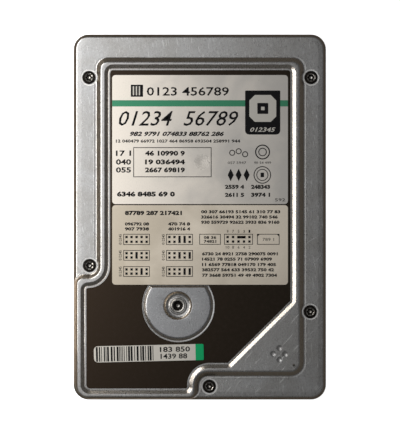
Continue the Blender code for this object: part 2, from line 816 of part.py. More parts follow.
def circuit_board(board, chip, screw):
    """The board in the base's underside, its two large chips and its screws."""

    def shape(bm):
        edge = [
            (43.6, 45.4, 1.0), (-43.6, 45.4, 1.0), (-43.6, -64.8, 0.5), (-47.6, -64.8, 0.5),
            (-47.6, -73.0, 0.8), (47.6, -73.0, 0.8), (47.6, -64.8, 0.5), (43.6, -64.8, 0.5),
        ]
        holes = [circle(1.4, 12, *at) for at in BOARD_SCREWS.values()]
        add_plate(bm, [outline(edge), circle(21.2, 36, *SPINDLE), *holes], BOARD_BOTTOM, BOARD_TOP)

    def chip_shape(half):
        def add(bm):
            add_loft(bm, [
                (outline(rounded_box(half - 0.2, half - 0.2, 0.4)), 0.0),
                (outline(rounded_box(half, half, 0.4)), 0.9),
                (outline(rounded_box(half - 0.2, half - 0.2, 0.4)), 1.8),
            ])

        return add

    piece("circuit_board", shape, board)
    piece("controller_chip", chip_shape(11.0), chip, (-15.0, -33.0, BOARD_BOTTOM - 1.85))
    piece("motor_driver_chip", chip_shape(6.0), chip, (21.0, -18.0, BOARD_BOTTOM - 1.85))
    mesh = mesh_of("board_screw", screw_shape(2.2, 1.1, 1.0, 4.6, 1.0))
    mesh.transform(Matrix.Rotation(math.pi, 4, "X"))
    for name, (x, y) in BOARD_SCREWS.items():
        piece(name, mesh, screw, (x, y, BOARD_BOTTOM - FIT))


def add_shell(bm, outer, inner, back, face, floor):
    """A connector shell along Y, open at its face. Outlines are in X and Z, with equal counts."""
    sections = [(outer, back), (outer, face), (inner, face), (inner, floor)]
    rings = [[bm.verts.new((p[0], y, p[1])) for p in points] for points, y in sections]
    for near, far in zip(rings, rings[1:]):
        for k in range(len(near)):
            bm.faces.new((near[k - 1], near[k], far[k], far[k - 1]))
    bm.faces.new(rings[0])
    bm.faces.new(rings[-1])


def interface_connector(plastic):
    """The 40-way ribbon header: a keyed shell around two rows of square pins."""
    centre, half, wall = -18.6, 28.0, 1.4
    low, high = BOARD_TOP + FIT, PLUG_TOP
    middle = (low + high) / 2
    socket_floor = PLUG_BACK - 2.2

    def shell(bm):
        outer = [(centre - half, low), (centre + half, low), (centre + half, high), (centre - half, high)]
        inner = [
            (centre - half + wall, low + wall), (centre + half - wall, low + wall),
            (centre + half - wall, high - wall), (centre - half + wall, high - wall),
        ]
        add_shell(bm, outer, inner, PLUG_BACK, PLUG_FACE, socket_floor)

    def key(bm):
        add_box(bm, (centre - 2.2, PLUG_FACE - 1.0, high - wall - 1.0), (centre + 2.2, -69.0, high + 1.0))

    def pins(bm):
        for column in range(20):
            for row in range(2):
                if (column, row) == (9, 0):
                    continue
                x = centre + (column - 9.5) * PITCH
                z = middle + (row - 0.5) * PITCH
                add_box(bm, (x - PIN, -72.4, z - PIN), (x + PIN, socket_floor + 0.6, z + PIN))

    connector = piece("interface_connector", shell, plastic)
    boolean(connector, tool("key_slot_tool", key), "DIFFERENCE")
    boolean(connector, tool("interface_pins_tool", pins), "UNION")


def power_connector(plastic):
    """The four-pin power header, with two corners cut off so that a plug fits one way."""
    centre, half, wall, cut = 36.9, 11.0, 1.5, 2.4
    low, high = BOARD_TOP + FIT, PLUG_TOP
    middle = (low + high) / 2
    socket_floor = PLUG_BACK - 2.0

    def section(inset):
        left, right = centre - half + inset, centre + half - inset
        bottom, top = low + inset, high - inset
        trim = cut - 0.4 * inset
        return [
            (left, bottom), (right, bottom), (right, top - trim),
            (right - trim, top), (left + trim, top), (left, top - trim),
        ]

    def shell(bm):
        add_shell(bm, section(0.0), section(wall), PLUG_BACK, PLUG_FACE, socket_floor)

    def pins(bm):
        for k in range(4):
            add_rod_y(bm, centre + (k - 1.5) * 5.08, middle - 0.2, 1.05, -72.0, socket_floor + 0.6, 12)

    connector = piece("power_connector", shell, plastic)
    boolean(connector, tool("power_pins_tool", pins), "UNION")


def jumper_set(plastic, shunt_plastic):
    """Five pairs of pins, and the shunt that bridges two of them and pulls off along -Y."""
    strip_face = -68.4
    pin_end = -72.9

    def strip(bm):
        half = 2.5 * PITCH
        low, high = (JUMPER_X - half, strip_face, BOARD_TOP + FIT), (JUMPER_X + half, PLUG_BACK, 11.6)
        add_box(bm, low, high)

    def pins(bm):
        for column in range(5):
            for z in JUMPER_ROWS:
                x = JUMPER_X + (column - 2) * PITCH
                add_box(bm, (x - PIN, pin_end, z - PIN), (x + PIN, strip_face + 0.8, z + PIN))

    block = piece("jumper_block", strip, plastic)
    boolean(block, tool("jumper_pins_tool", pins), "UNION")

    at = (JUMPER_X + 0.5 * PITCH, -70.9, JUMPER_ROWS[1])

    def body(bm):
        half_long = 2.3
        add_loft(bm, [
            (outline(rounded_box(2.4, half_long, 0.4)), -1.1),
            (outline(rounded_box(2.4, half_long, 0.4)), 1.1),
        ])

    def pin_holes(bm):
        room = PIN + SHUNT_GAP
        for x in (-PITCH / 2, PITCH / 2):
            add_box(bm, (x - room, -2.1, -room), (x + room, 3.0, room))

    shunt = piece("jumper_shunt", body, shunt_plastic, at)
    boolean(shunt, tool("shunt_holes_tool", pin_holes, at), "DIFFERENCE")


def build():
    clear_scene()
    cast = look("cast_aluminium", (0.52, 0.52, 0.53), 0.45, 1.0)
    cover = look("stamped_cover", (0.62, 0.62, 0.63), 0.32, 1.0)
    turned = look("turned_aluminium", (0.72, 0.73, 0.75), 0.25, 1.0)
    mirror = look("platter_surface", (0.82, 0.81, 0.80), 0.04, 1.0)
    steel = look("bright_steel", (0.62, 0.63, 0.65), 0.22, 1.0)
    black_screw = look("black_screw", (0.035, 0.033, 0.032), 0.35, 0.8)
    magnet = look("plated_magnet", (0.55, 0.55, 0.56), 0.18, 1.0)
    lamination = look("stator_steel", (0.20, 0.20, 0.21), 0.45, 0.9)
    copper = look("enamelled_copper", (0.62, 0.24, 0.09), 0.35, 0.9)
    rubber = look("black_rubber", (0.02, 0.02, 0.02), 0.75)
    sheet = look("damping_sheet", (0.022, 0.018, 0.016), 0.32)
    paper = look("label_white", (0.76, 0.75, 0.72), 0.5)
    beige = look("label_beige", (0.55, 0.52, 0.46), 0.55)
    fabric = look("filter_fabric", (0.82, 0.82, 0.80), 0.9)
    flex = look("flex_film", (0.48, 0.22, 0.05), 0.35)
    board = look("board_green", (0.02, 0.15, 0.06), 0.4)
    plastic = look("connector_black", (0.02, 0.02, 0.02), 0.5)
    chip = look("chip_black", (0.025, 0.025, 0.027), 0.55)
    shunt = look("shunt_white", (0.75, 0.75, 0.72), 0.45)

    base_casting(cast)
    cover_gasket(rubber)
    top_cover(cover)
    damping_sheet(sheet)
    labels(paper, beige)
    cover_screws(black_screw)
    filters(fabric)
    piece("spindle_shaft", shaft_shape(1.5, 23.9, 4.2), steel, (*SPINDLE, 0.0))
    stator(lamination, copper)
    spindle_rotor(turned, steel, mirror, magnet, black_screw)
    piece("pivot_shaft", shaft_shape(6.3, 23.6, 3.0), steel, (*PIVOT, 0.0))
    magnet_yokes(steel, magnet)
    crash_stops(rubber)
    head_actuator(turned, steel, copper)
    flex_and_bracket(plastic, flex)
    circuit_board(board, chip, black_screw)
    interface_connector(plastic)
    power_connector(plastic)
    jumper_set(plastic, shunt)


build()
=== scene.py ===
"""The looks of a 3.5-inch hard disk drive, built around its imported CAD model.

Shapes are drawn in millimetres in the CAD's own frame, and become metres where a mesh is made.
"""

import math
import random

import bmesh
import bpy
from mathutils import Matrix, Vector


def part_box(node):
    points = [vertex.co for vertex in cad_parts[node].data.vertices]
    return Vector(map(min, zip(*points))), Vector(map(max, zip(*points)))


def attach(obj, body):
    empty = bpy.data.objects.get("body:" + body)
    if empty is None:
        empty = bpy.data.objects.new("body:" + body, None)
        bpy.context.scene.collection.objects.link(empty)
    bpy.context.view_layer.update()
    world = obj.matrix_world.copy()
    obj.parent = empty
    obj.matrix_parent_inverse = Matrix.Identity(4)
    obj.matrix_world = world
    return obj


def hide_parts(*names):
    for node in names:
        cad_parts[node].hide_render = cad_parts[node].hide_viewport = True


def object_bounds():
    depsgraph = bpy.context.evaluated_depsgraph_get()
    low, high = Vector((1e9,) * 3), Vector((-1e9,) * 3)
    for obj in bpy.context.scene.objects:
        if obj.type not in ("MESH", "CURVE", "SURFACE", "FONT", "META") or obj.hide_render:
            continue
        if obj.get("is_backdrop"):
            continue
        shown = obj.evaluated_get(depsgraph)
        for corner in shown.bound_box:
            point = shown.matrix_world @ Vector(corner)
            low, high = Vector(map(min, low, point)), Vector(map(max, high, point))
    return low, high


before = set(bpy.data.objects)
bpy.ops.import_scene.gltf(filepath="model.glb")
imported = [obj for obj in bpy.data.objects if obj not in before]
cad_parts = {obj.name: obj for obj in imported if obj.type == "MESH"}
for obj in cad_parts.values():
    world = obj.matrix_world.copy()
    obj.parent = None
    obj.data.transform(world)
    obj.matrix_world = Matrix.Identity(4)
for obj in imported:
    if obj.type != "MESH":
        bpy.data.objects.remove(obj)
CAD_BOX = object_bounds()

MM = 0.001


def box_mm(node):
    """A CAD node's lowest and highest corners, in millimetres."""
    low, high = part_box(node)
    return low / MM, high / MM


def middle_mm(node):
    low, high = box_mm(node)
    return (low + high) / 2


# Sizes and places read from the CAD model
COVER_BOTTOM = box_mm("top_cover")[0].z
HALF_X, HALF_Y, CREST = box_mm("top_cover")[1]
SHEET_TOP = box_mm("damping_sheet")[1].z
LABEL_TOP = box_mm("main_label")[1].z
PIVOT = middle_mm("pivot_shaft").xy
SPINDLE = middle_mm("spindle_shaft").xy
COVER_SCREWS = [name for name in sorted(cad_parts) if name.startswith("cover_screw")]
BOARD_SCREWS = [name for name in sorted(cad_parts) if name.startswith("board_screw")]
BOARD_BOTTOM, BOARD_TOP = box_mm("circuit_board")[0].z, box_mm("circuit_board")[1].z

# The cover's other levels, and the outlines that it shares with the CAD model
CORNER = 6.0
FLANGE_TOP = CREST - 2.0
POCKET_FLOOR = CREST - 0.9
HOLLOW_TOP = CREST - 2.1
SEAT = CREST - 2.8
PLATEAU = [
    (39.85, 62.1, 2.6), (-39.6, 62.1, 2.6), (-39.6, -25.0, 5.3), (-49.1, -25.0, 1.8),
    (-49.1, -72.2, 4.0), (-2.5, -72.2, 1.8), (-2.5, -61.9, 5.8), (39.85, -61.9, 3.4),
]
POCKET = [
    (38.7, 61.3, 3.5), (-38.35, 61.3, 3.5), (-38.35, -26.2, 6.4), (-47.9, -26.2, 3.0),
    (-47.9, -71.2, 3.9), (-2.8, -71.2, 3.0), (-2.8, -60.9, 6.6), (12.2, -60.9, 2.5),
    (38.7, -34.6, 3.0),
]
CAVITY = [
    (48.5, 70.3, 48.4), (-48.5, 70.3, 48.4), (-48.5, -12.5, 2.5), (-38.6, -12.5, 3.0),
    (-38.6, -26.0, 4.0), (-47.0, -26.0, 3.0), (-47.0, -62.5, 5.0), (8.5, -62.5, 4.0),
    (37.0, -34.0, 5.0), (37.0, -22.0, 3.0), (48.5, -22.0, 4.0),
]
SHEET_INSET = 2.3
DISC_AT = PIVOT + Vector((0.2, -0.1))
DENT_AT = SPINDLE + Vector((0.9, 0.4))
DENT_RADIUS = 3.1
DENT_DEPTH = 0.34
LABEL_TRIM = (0.1, 0.5)
LABEL_THICK = 0.1
SERIAL_HALF = (22.05, 3.25)
SERIAL_TURN = math.radians(1.3)

# The base's levels and the connectors' places
RAIL_TOP = 12.0
DECK_BOTTOM = 6.2
CHAMBER_FLOOR = 9.0
ROOM_TOP = 13.4
LEDGE = 22.0
RIM = box_mm("base_casting")[1].z
SIDE_HOLES = (-45.0, -3.4, 56.6)
INTERFACE_X = middle_mm("interface_connector").x
POWER_X = middle_mm("power_connector").x
JUMPER_X = middle_mm("jumper_block").x
JUMPER_ROWS = (7.6, 10.14)
PITCH = 2.54
PIN_HALF = 0.32
POWER_PITCH = 5.08
JOINT_ROWS = (-62.9, -60.4)
LEAD_ROOT = 2.1


# Outlines and profiles


def rounded_box(half_x, half_y, radius, x=0.0, y=0.0):
    return [
        (x + half_x, y + half_y, radius), (x - half_x, y + half_y, radius),
        (x - half_x, y - half_y, radius), (x + half_x, y - half_y, radius),
    ]


def sides(corners, k):
    """Corner k, and the unit directions from it to the corners before and after."""
    here = Vector(corners[k][:2])
    before = (Vector(corners[k - 1][:2]) - here).normalized()
    after = (Vector(corners[(k + 1) % len(corners)][:2]) - here).normalized()
    return here, before, after


def grow(corners, distance):
    """The outline moved outward: outer corners get rounder and inner ones sharper."""
    grown = []
    for k, (_, _, radius) in enumerate(corners):
        here, before, after = sides(corners, k)
        turn = math.pi - before.angle(after)
        sign = -1 if before.cross(after) < 0 else 1
        moved = here + (before + after).normalized() * sign * distance / math.cos(turn / 2)
        grown.append((moved.x, moved.y, max(radius - sign * distance, 0.08)))
    return grown


def arc(here, before, after, radius, parts):
    """The points of one round corner."""
    turn = math.pi - before.angle(after)
    sense = -1 if before.cross(after) > 0 else 1
    centre = here + (before + after).normalized() * radius / math.cos(turn / 2)
    start = here + before * radius * math.tan(turn / 2) - centre
    turns = [Matrix.Rotation(sense * turn * step / parts, 2) for step in range(parts + 1)]
    return [centre + turned @ start for turned in turns]


def outline(corners, parts=10):
    points = []
    for k, corner in enumerate(corners):
        points += arc(*sides(corners, k), corner[2], parts)
    return points


def profile(corners, parts=5):
    """An open line through corners (across, up, radius), rounded at all but its two ends."""
    points = [Vector(corners[0][:2])]
    for k in range(1, len(corners) - 1):
        points += arc(*sides(corners, k), corners[k][2], parts)
    return points + [Vector(corners[-1][:2])]


def polar(radius, degrees):
    angle = math.radians(degrees)
    return Vector((radius * math.cos(angle), radius * math.sin(angle)))


def circle(radius, parts, x=0.0, y=0.0):
    return [polar(radius, 360 * k / parts) + Vector((x, y)) for k in range(parts)]


def flat_disc(radius, flat, parts=72):
    """The raised disc's outline, cut off by a straight flat on its +Y side."""
    end = math.degrees(math.asin(flat / radius))
    return [polar(radius, 180 - end + (180 + 2 * end) * k / parts) + DISC_AT for k in range(parts + 1)]


def star(radius, depth, parts):
    """A six-lobed outline."""
    turns = [k / parts for k in range(parts)]
    return [polar(radius + depth * math.cos(6 * math.tau * turn), 360 * turn) for turn in turns]


# Meshes


def ring(bm, points, z):
    return [bm.verts.new((p[0], p[1], z)) for p in points]


def bridge(bm, rings):
    for low, high in zip(rings, rings[1:]):
        for k in range(len(low)):
            bm.faces.new((low[k - 1], low[k], high[k], high[k - 1]))


def fill(bm, rings):
    """A flat face inside the first ring and outside the others."""
    edges = []
    for points in rings:
        pairs = [(points[k - 1], points[k]) for k in range(len(points))]
        edges += [bm.edges.get(pair) or bm.edges.new(pair) for pair in pairs]
    bmesh.ops.triangle_fill(bm, use_beauty=True, use_dissolve=False, edges=edges)


def add_loft(bm, levels):
    rings = [ring(bm, points, z) for points, z in levels]
    bridge(bm, rings)
    fill(bm, rings[:1])
    fill(bm, rings[-1:])


def add_round(bm, levels, parts, x, y):
    """A solid round body about a vertical axis through (radius, z) levels."""
    add_loft(bm, [(circle(r, parts, x, y), z) for r, z in levels])


def add_grown(bm, corners, levels, parts=10):
    """A body through (distance, z) levels of one outline moved outward."""
    add_loft(bm, [(outline(grow(corners, d), parts), z) for d, z in levels])


def add_turned(bm, line, parts, x, y):
    """A ring about a vertical axis from a closed line of (radius, z)."""
    rings = [ring(bm, circle(r, parts, x, y), z) for r, z in line]
    bridge(bm, rings + rings[:1])


def add_plate(bm, loops, bottom, top):
    """A flat plate with square edges: the first loop is its edge and the others are holes."""
    lows = [ring(bm, points, bottom) for points in loops]
    highs = [ring(bm, points, top) for points in loops]
    for low, high in zip(lows, highs):
        bridge(bm, [low, high])
    fill(bm, lows)
    fill(bm, highs)


def add_box(bm, low, high):
    corners = [(low[0], low[1]), (high[0], low[1]), (high[0], high[1]), (low[0], high[1])]
    rings = [ring(bm, corners, low[2]), ring(bm, corners, high[2])]
    bridge(bm, rings)
    bm.faces.new(rings[0])
    bm.faces.new(rings[1])


def add_along_y(bm, sections):
    """A closed body through (points in X and Z, y) sections."""
    rings = [[bm.verts.new((p[0], y, p[1])) for p in points] for points, y in sections]
    bridge(bm, rings)
    bm.faces.new(rings[0])
    bm.faces.new(rings[-1])


def smooth(mesh):
    """Smooth shading, except over edges that turn more than 30 degrees."""
    mesh.shade_smooth()
    mesh.set_sharp_from_angle(angle=math.radians(30))


def mesh_of(name, add):
    """A mesh in metres from a function that adds bodies in millimetres."""
    bm = bmesh.new()
    add(bm)
    bmesh.ops.recalc_face_normals(bm, faces=bm.faces)
    bmesh.ops.scale(bm, vec=(MM, MM, MM), verts=bm.verts)
    mesh = bpy.data.meshes.new(name)
    bm.to_mesh(mesh)
    bm.free()
    smooth(mesh)
    return mesh


def link(name, data):
    obj = bpy.data.objects.new(name, data)
    bpy.context.scene.collection.objects.link(obj)
    return obj


def final_mesh(obj):
    return bpy.data.meshes.new_from_object(obj.evaluated_get(bpy.context.evaluated_depsgraph_get()))


def solid(name, body, steps):
    """An object from a body and (operation, body or object) steps, worked out in that order."""
    obj = link(name, mesh_of(name, body))
    tools = []
    for operation, shape in steps:
        tools.append(link(f"{name}_tool", mesh_of(name, shape)) if callable(shape) else shape)
        modifier = obj.modifiers.new("cut", "BOOLEAN")
        modifier.operation = operation
        modifier.solver = "EXACT"
        modifier.object = tools[-1]
    obj.data = final_mesh(obj)
    obj.modifiers.clear()
    for unused in tools:
        bpy.data.objects.remove(unused, do_unlink=True)
    smooth(obj.data)
    return obj


def dress(obj, material, body="base", nodes=()):
    """Gives a piece its finish, the body that it rides on, and the CAD nodes that it stands for."""
    obj.data.materials.clear()
    obj.data.materials.append(material)
    obj.modifiers.new("face_normals", "WEIGHTED_NORMAL").keep_sharp = True
    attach(obj, body)
    if nodes:
        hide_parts(*nodes)
    return obj


def piece(name, add, material, body="base", nodes=()):
    return dress(link(name, mesh_of(name, add)), material, body, nodes)


# Materials


EVEN = (1.0, 1.0, 1.0)


class Finish:
    """A Principled material whose detail comes from procedural textures in object space."""

    SOCKETS = {
        "colour": "Base Color", "roughness": "Roughness", "normal": "Normal",
        "specular": "Specular IOR Level", "coat": "Coat Weight", "coat_roughness": "Coat Roughness",
    }

    def __init__(self, name, roughness, metallic=0.0, **constants):
        self.material = bpy.data.materials.new(name)
        self.material.use_nodes = True
        self.tree = self.material.node_tree
        self.shader = self.tree.nodes["Principled BSDF"]
        self.shader.inputs["Metallic"].default_value = metallic
        self.coordinates = self.tree.nodes.new("ShaderNodeTexCoord").outputs["Object"]
        self.use(roughness=roughness, **constants)

    def put(self, value, socket):
        if isinstance(value, bpy.types.NodeSocket):
            self.tree.links.new(value, socket)
        elif isinstance(value, tuple) and len(value) == 3 and len(socket.default_value) == 4:
            socket.default_value = (*value, 1.0)
        else:
            socket.default_value = value

    def use(self, **values):
        for name, value in values.items():
            self.put(value, self.shader.inputs[self.SOCKETS[name]])
        return self.material

    def place(self, stretch, turn):
        """Object coordinates turned about Z, with features longer by the stretch along each axis."""
        node = self.tree.nodes.new("ShaderNodeMapping")
        node.vector_type = "TEXTURE"
        node.inputs["Scale"].default_value = stretch
        node.inputs["Rotation"].default_value = (0.0, 0.0, math.radians(turn))
        self.put(self.coordinates, node.inputs["Vector"])
        return node.outputs["Vector"]

    def noise(self, size, stretch=EVEN, turn=0.0, detail=3.0, rough=0.55, swirl=0.0):
        """Noise with features of about this many millimetres."""
        node = self.tree.nodes.new("ShaderNodeTexNoise")
        self.put(self.place(stretch, turn), node.inputs["Vector"])
        node.inputs["Scale"].default_value = 1.0 / (size * MM)
        node.inputs["Detail"].default_value = detail
        node.inputs["Roughness"].default_value = rough
        node.inputs["Distortion"].default_value = swirl
        return node.outputs[0]

    def cells(self, size, stretch=EVEN, feature="F1"):
        node = self.tree.nodes.new("ShaderNodeTexVoronoi")
        node.feature = feature
        self.put(self.place(stretch, 0.0), node.inputs["Vector"])
        node.inputs["Scale"].default_value = 1.0 / (size * MM)
        return node.outputs["Distance"]

    def axis(self, name):
        node = self.tree.nodes.new("ShaderNodeSeparateXYZ")
        self.put(self.coordinates, node.inputs["Vector"])
        return node.outputs[name]

    def spread(self, value, low, high, out_low=0.0, out_high=1.0):
        """The value's range from low to high, clamped and moved to another range."""
        node = self.tree.nodes.new("ShaderNodeMapRange")
        self.put(value, node.inputs["Value"])
        ends = {"From Min": low, "From Max": high, "To Min": out_low, "To Max": out_high}
        for name, number in ends.items():
            node.inputs[name].default_value = number
        return node.outputs["Result"]

    def combine(self, operation, a, b):
        node = self.tree.nodes.new("ShaderNodeMath")
        node.operation = operation
        self.put(a, node.inputs[0])
        self.put(b, node.inputs[1])
        return node.outputs["Value"]

    def length(self, x, y):
        squares = self.combine("ADD", self.combine("MULTIPLY", x, x), self.combine("MULTIPLY", y, y))
        return self.combine("SQRT", squares, 0.0)

    def edge_distance(self, half_x, half_y, corner):
        """Metres inward from the edge of an upright round-cornered box, up to its corner radius."""
        x = self.combine("SUBTRACT", self.combine("ABSOLUTE", self.axis("X"), 0.0), (half_x - corner) * MM)
        y = self.combine("SUBTRACT", self.combine("ABSOLUTE", self.axis("Y"), 0.0), (half_y - corner) * MM)
        past = self.length(self.combine("MAXIMUM", x, 0.0), self.combine("MAXIMUM", y, 0.0))
        return self.combine("SUBTRACT", corner * MM, past)

    def from_axis(self, centre):
        """Metres from an upright axis."""
        x = self.combine("SUBTRACT", self.axis("X"), centre.x * MM)
        y = self.combine("SUBTRACT", self.axis("Y"), centre.y * MM)
        return self.length(x, y)

    def steepness(self, low, high):
        """0 where a face is level and 1 where it is steep, by the height of its normal."""
        geometry = self.tree.nodes.new("ShaderNodeNewGeometry")
        node = self.tree.nodes.new("ShaderNodeSeparateXYZ")
        self.put(geometry.outputs["Normal"], node.inputs["Vector"])
        return self.spread(node.outputs["Z"], low, high, 1.0, 0.0)

    def mix(self, factor, a, b):
        node = self.tree.nodes.new("ShaderNodeMix")
        node.data_type = "RGBA"
        self.put(factor, node.inputs["Factor"])
        self.put(a, node.inputs[6])
        self.put(b, node.inputs[7])
        return node.outputs[2]

    def bump(self, height, depth, below=None):
        """A relief this many millimetres deep, on top of another one."""
        node = self.tree.nodes.new("ShaderNodeBump")
        node.inputs["Distance"].default_value = depth * MM
        self.put(height, node.inputs["Height"])
        if below:
            self.put(below, node.inputs["Normal"])
        return node.outputs["Normal"]


def dimmed(colour, share):
    return tuple(share * part for part in colour)


def scratches(f, marks):
    """Thin straight marks. Each set has its direction, spacing, patch size and how much of it shows."""
    shown = 0.0
    for turn, spacing, patch, share in marks:
        lines = f.spread(f.noise(spacing, (1.0, 16.0, 1.0), turn, detail=0.0), 0.70, 0.78)
        where = f.spread(f.noise(patch, (1.0, 2.0, 1.0), turn, detail=1.0), 0.62 - share, 0.68 - share)
        shown = f.combine("MAXIMUM", shown, f.combine("MULTIPLY", lines, where))
    return shown


def stamped_metal():
    """Satin sheet: fine grain, blotches and scratches, with painted shade in brown on its steep faces and
    outer edge, and a painted highlight ring round each screw.
    """
    f = Finish("stamped_metal", 0.3, 1.0)
    grain = f.noise(0.3, (1.0, 6.0, 1.0), detail=4.0)
    speckle = f.noise(0.7, detail=4.0, rough=0.7)
    blotch = f.noise(15.0, swirl=0.6)
    long_marks = scratches(f, ((-42.0, 0.5, 14.0, 0.16), (-58.0, 0.7, 10.0, 0.08)))
    lower_right = f.spread(f.combine("SUBTRACT", f.axis("X"), f.axis("Y")), 0.03, 0.075, 0.15, 1.0)
    short_marks = f.spread(f.noise(0.45, (1.0, 9.0, 1.0), 8.0, detail=0.0), 0.74, 0.8, 0.0, 0.6)
    scratch = f.combine("MAXIMUM", f.combine("MULTIPLY", long_marks, lower_right), short_marks)
    colour = f.mix(f.spread(blotch, 0.35, 0.65), (0.51, 0.50, 0.485), (0.60, 0.60, 0.60))
    colour = f.mix(f.spread(speckle, 0.42, 0.75, 0.0, 0.6), colour, (0.36, 0.345, 0.33))
    colour = f.mix(scratch, colour, (0.80, 0.80, 0.79))
    on_disc = f.combine("MULTIPLY", f.spread(f.from_axis(PIVOT), 13.4 * MM, 13.8 * MM, 0.75, 0.0),
                        f.spread(f.axis("Z"), (CREST - 0.3) * MM, (CREST - 0.1) * MM))
    colour = f.mix(on_disc, colour, (0.40, 0.405, 0.42))
    # Painted shade: faces are tinted darker brown as they get steeper, by the height of their normal.
    painted_slope_shade = f.combine("MULTIPLY", f.steepness(0.72, 0.9), f.spread(speckle, 0.3, 0.6, 0.7, 1.0))
    colour = f.mix(painted_slope_shade, colour, (0.54, 0.45, 0.35))
    # Painted shade: a dark brown band along the cover's rounded outer edge.
    painted_rim_shade = f.spread(f.edge_distance(HALF_X, HALF_Y, CORNER), 0.7 * MM, 1.3 * MM, 0.95, 0.0)
    colour = f.mix(painted_rim_shade, colour, (0.40, 0.32, 0.245))
    from_screw = 1.0
    for name in COVER_SCREWS:
        from_screw = f.combine("MINIMUM", from_screw, f.from_axis(middle_mm(name).xy))
    # Painted highlight: a light ring round each cover screw.
    painted_screw_highlight = f.spread(from_screw, 3.3 * MM, 3.45 * MM, 1.0, 0.0)
    colour = f.mix(painted_screw_highlight, colour, (0.92, 0.91, 0.89))
    # Roughness rises where the painted rim shade and the painted screw highlight lie.
    worn = f.spread(f.combine("MAXIMUM", painted_rim_shade, painted_screw_highlight), 0.0, 1.0, 0.0, 0.42)
    rough = f.combine("MAXIMUM", f.spread(grain, 0.2, 0.8, 0.24, 0.34), worn)
    normal = f.bump(grain, 0.004, f.bump(f.noise(4.0, detail=1.0), 0.012))
    return f.use(colour=colour, roughness=rough, normal=f.bump(scratch, 0.006, normal))


def cast_metal():
    """Die-cast aluminium: matt, with a grainy skin and grey stains."""
    f = Finish("cast_metal", 0.5, 0.75)
    grain = f.noise(0.45, detail=5.0, rough=0.7)
    stain = f.noise(9.0, swirl=0.4)
    colour = f.mix(f.spread(stain, 0.3, 0.7), (0.50, 0.50, 0.51), (0.60, 0.60, 0.61))
    colour = f.mix(f.spread(grain, 0.4, 0.75, 0.0, 0.5), colour, (0.38, 0.375, 0.37))
    return f.use(colour=colour, roughness=f.spread(grain, 0.2, 0.8, 0.38, 0.6), normal=f.bump(grain, 0.02))


def sheet_film():
    """Brown-black film with mottling and a soft waviness, and painted light that makes it lighter and
    warmer to the left.
    """
    f = Finish("sheet_film", 0.42, specular=0.13)
    mottle = f.noise(1.6, detail=5.0, rough=0.7)
    # Painted light: lighter and warmer at the left, darker at the right, by X alone.
    across = f.spread(f.axis("X"), -0.045, 0.035)
    colour = f.mix(across, (0.031, 0.020, 0.012), (0.020, 0.014, 0.008))
    colour = f.mix(f.spread(mottle, 0.45, 0.75, 0.0, 0.6), colour, (0.036, 0.024, 0.018))
    normal = f.bump(f.noise(0.2, detail=2.0), 0.003, f.bump(f.noise(7.0, detail=1.0), 0.03))
    return f.use(colour=colour, roughness=f.spread(mottle, 0.2, 0.8, 0.36, 0.5), normal=normal)


def label_film(name, light, dark, gloss, painted_light_share=0.0):
    """Printed film: fibres, small stains, a hint of lifting and yellowing, with painted light that darkens
    or lightens it from left to right.
    """
    f = Finish(name, gloss)
    # Painted light: a ramp along X, of this share either way, added to the yellowing noise.
    painted_light_gradient = f.spread(f.axis("X"), -0.03, 0.035, -painted_light_share, painted_light_share)
    age_and_painted_light = f.combine("SUBTRACT", f.noise(20.0, swirl=0.5), painted_light_gradient)
    fibre = f.noise(0.4, (1.0, 2.0, 1.0), detail=4.0, rough=0.7)
    stains = f.spread(f.cells(9.0), 0.0, 0.03, 0.5, 0.0)
    colour = f.mix(f.spread(age_and_painted_light, 0.3, 0.75), light, dark)
    colour = f.mix(f.spread(fibre, 0.5, 0.85, 0.0, 0.3), colour, dimmed(dark, 0.75))
    colour = f.mix(stains, colour, (0.25, 0.21, 0.16))
    normal = f.bump(fibre, 0.002, f.bump(f.noise(6.0, detail=2.0), 0.02))
    rough = f.spread(fibre, 0.2, 0.8, gloss - 0.06, gloss + 0.08)
    return f.use(colour=colour, roughness=rough, normal=normal)


def ink(name, colour, worn):
    """Ink that has thinned in small specks."""
    f = Finish(name, 0.45, specular=0.15)
    wear = f.noise(0.35, detail=4.0, rough=0.8)
    colour = f.mix(f.spread(wear, 0.56, 0.8, 0.0, 0.5), colour, worn)
    return f.use(colour=colour, roughness=f.spread(wear, 0.3, 0.7, 0.38, 0.52))


def metal(name, light, dark, roughness, grain_size=0.25, stretch=EVEN):
    """Bare or plated metal with a fine grain, which the stretch gives a direction."""
    f = Finish(name, roughness, 1.0)
    grain = f.noise(grain_size, stretch)
    colour = f.mix(f.spread(f.noise(4.0, detail=2.0), 0.3, 0.7), dark, light)
    rough = f.spread(grain, 0.2, 0.8, 0.8 * roughness, 1.25 * roughness)
    return f.use(colour=colour, roughness=rough, normal=f.bump(grain, 0.003))


def turned_metal(name, colour, roughness, centre, pitch):
    """Metal with the fine rings that a lathe leaves about a vertical axis."""
    f = Finish(name, roughness, 1.0)
    turns = f.combine("MULTIPLY", f.from_axis(centre), math.tau / (pitch * MM))
    rings = f.combine("MULTIPLY", f.combine("SINE", turns, 0.0), f.noise(3.0))
    tone = f.mix(f.spread(f.noise(8.0), 0.3, 0.7), dimmed(colour, 0.85), colour)
    return f.use(colour=tone, roughness=f.spread(rings, -0.5, 0.5, 0.85 * roughness, 1.2 * roughness),
                 normal=f.bump(rings, 0.002))


def black_oxide():
    """Blackened steel with its high spots rubbed brown."""
    f = Finish("black_oxide", 0.34, 0.9)
    wear = f.noise(0.6, detail=5.0, rough=0.7)
    colour = f.mix(f.spread(wear, 0.55, 0.8), (0.012, 0.010, 0.008), (0.085, 0.07, 0.055))
    return f.use(colour=colour, roughness=f.spread(wear, 0.2, 0.8, 0.26, 0.44), normal=f.bump(wear, 0.004))


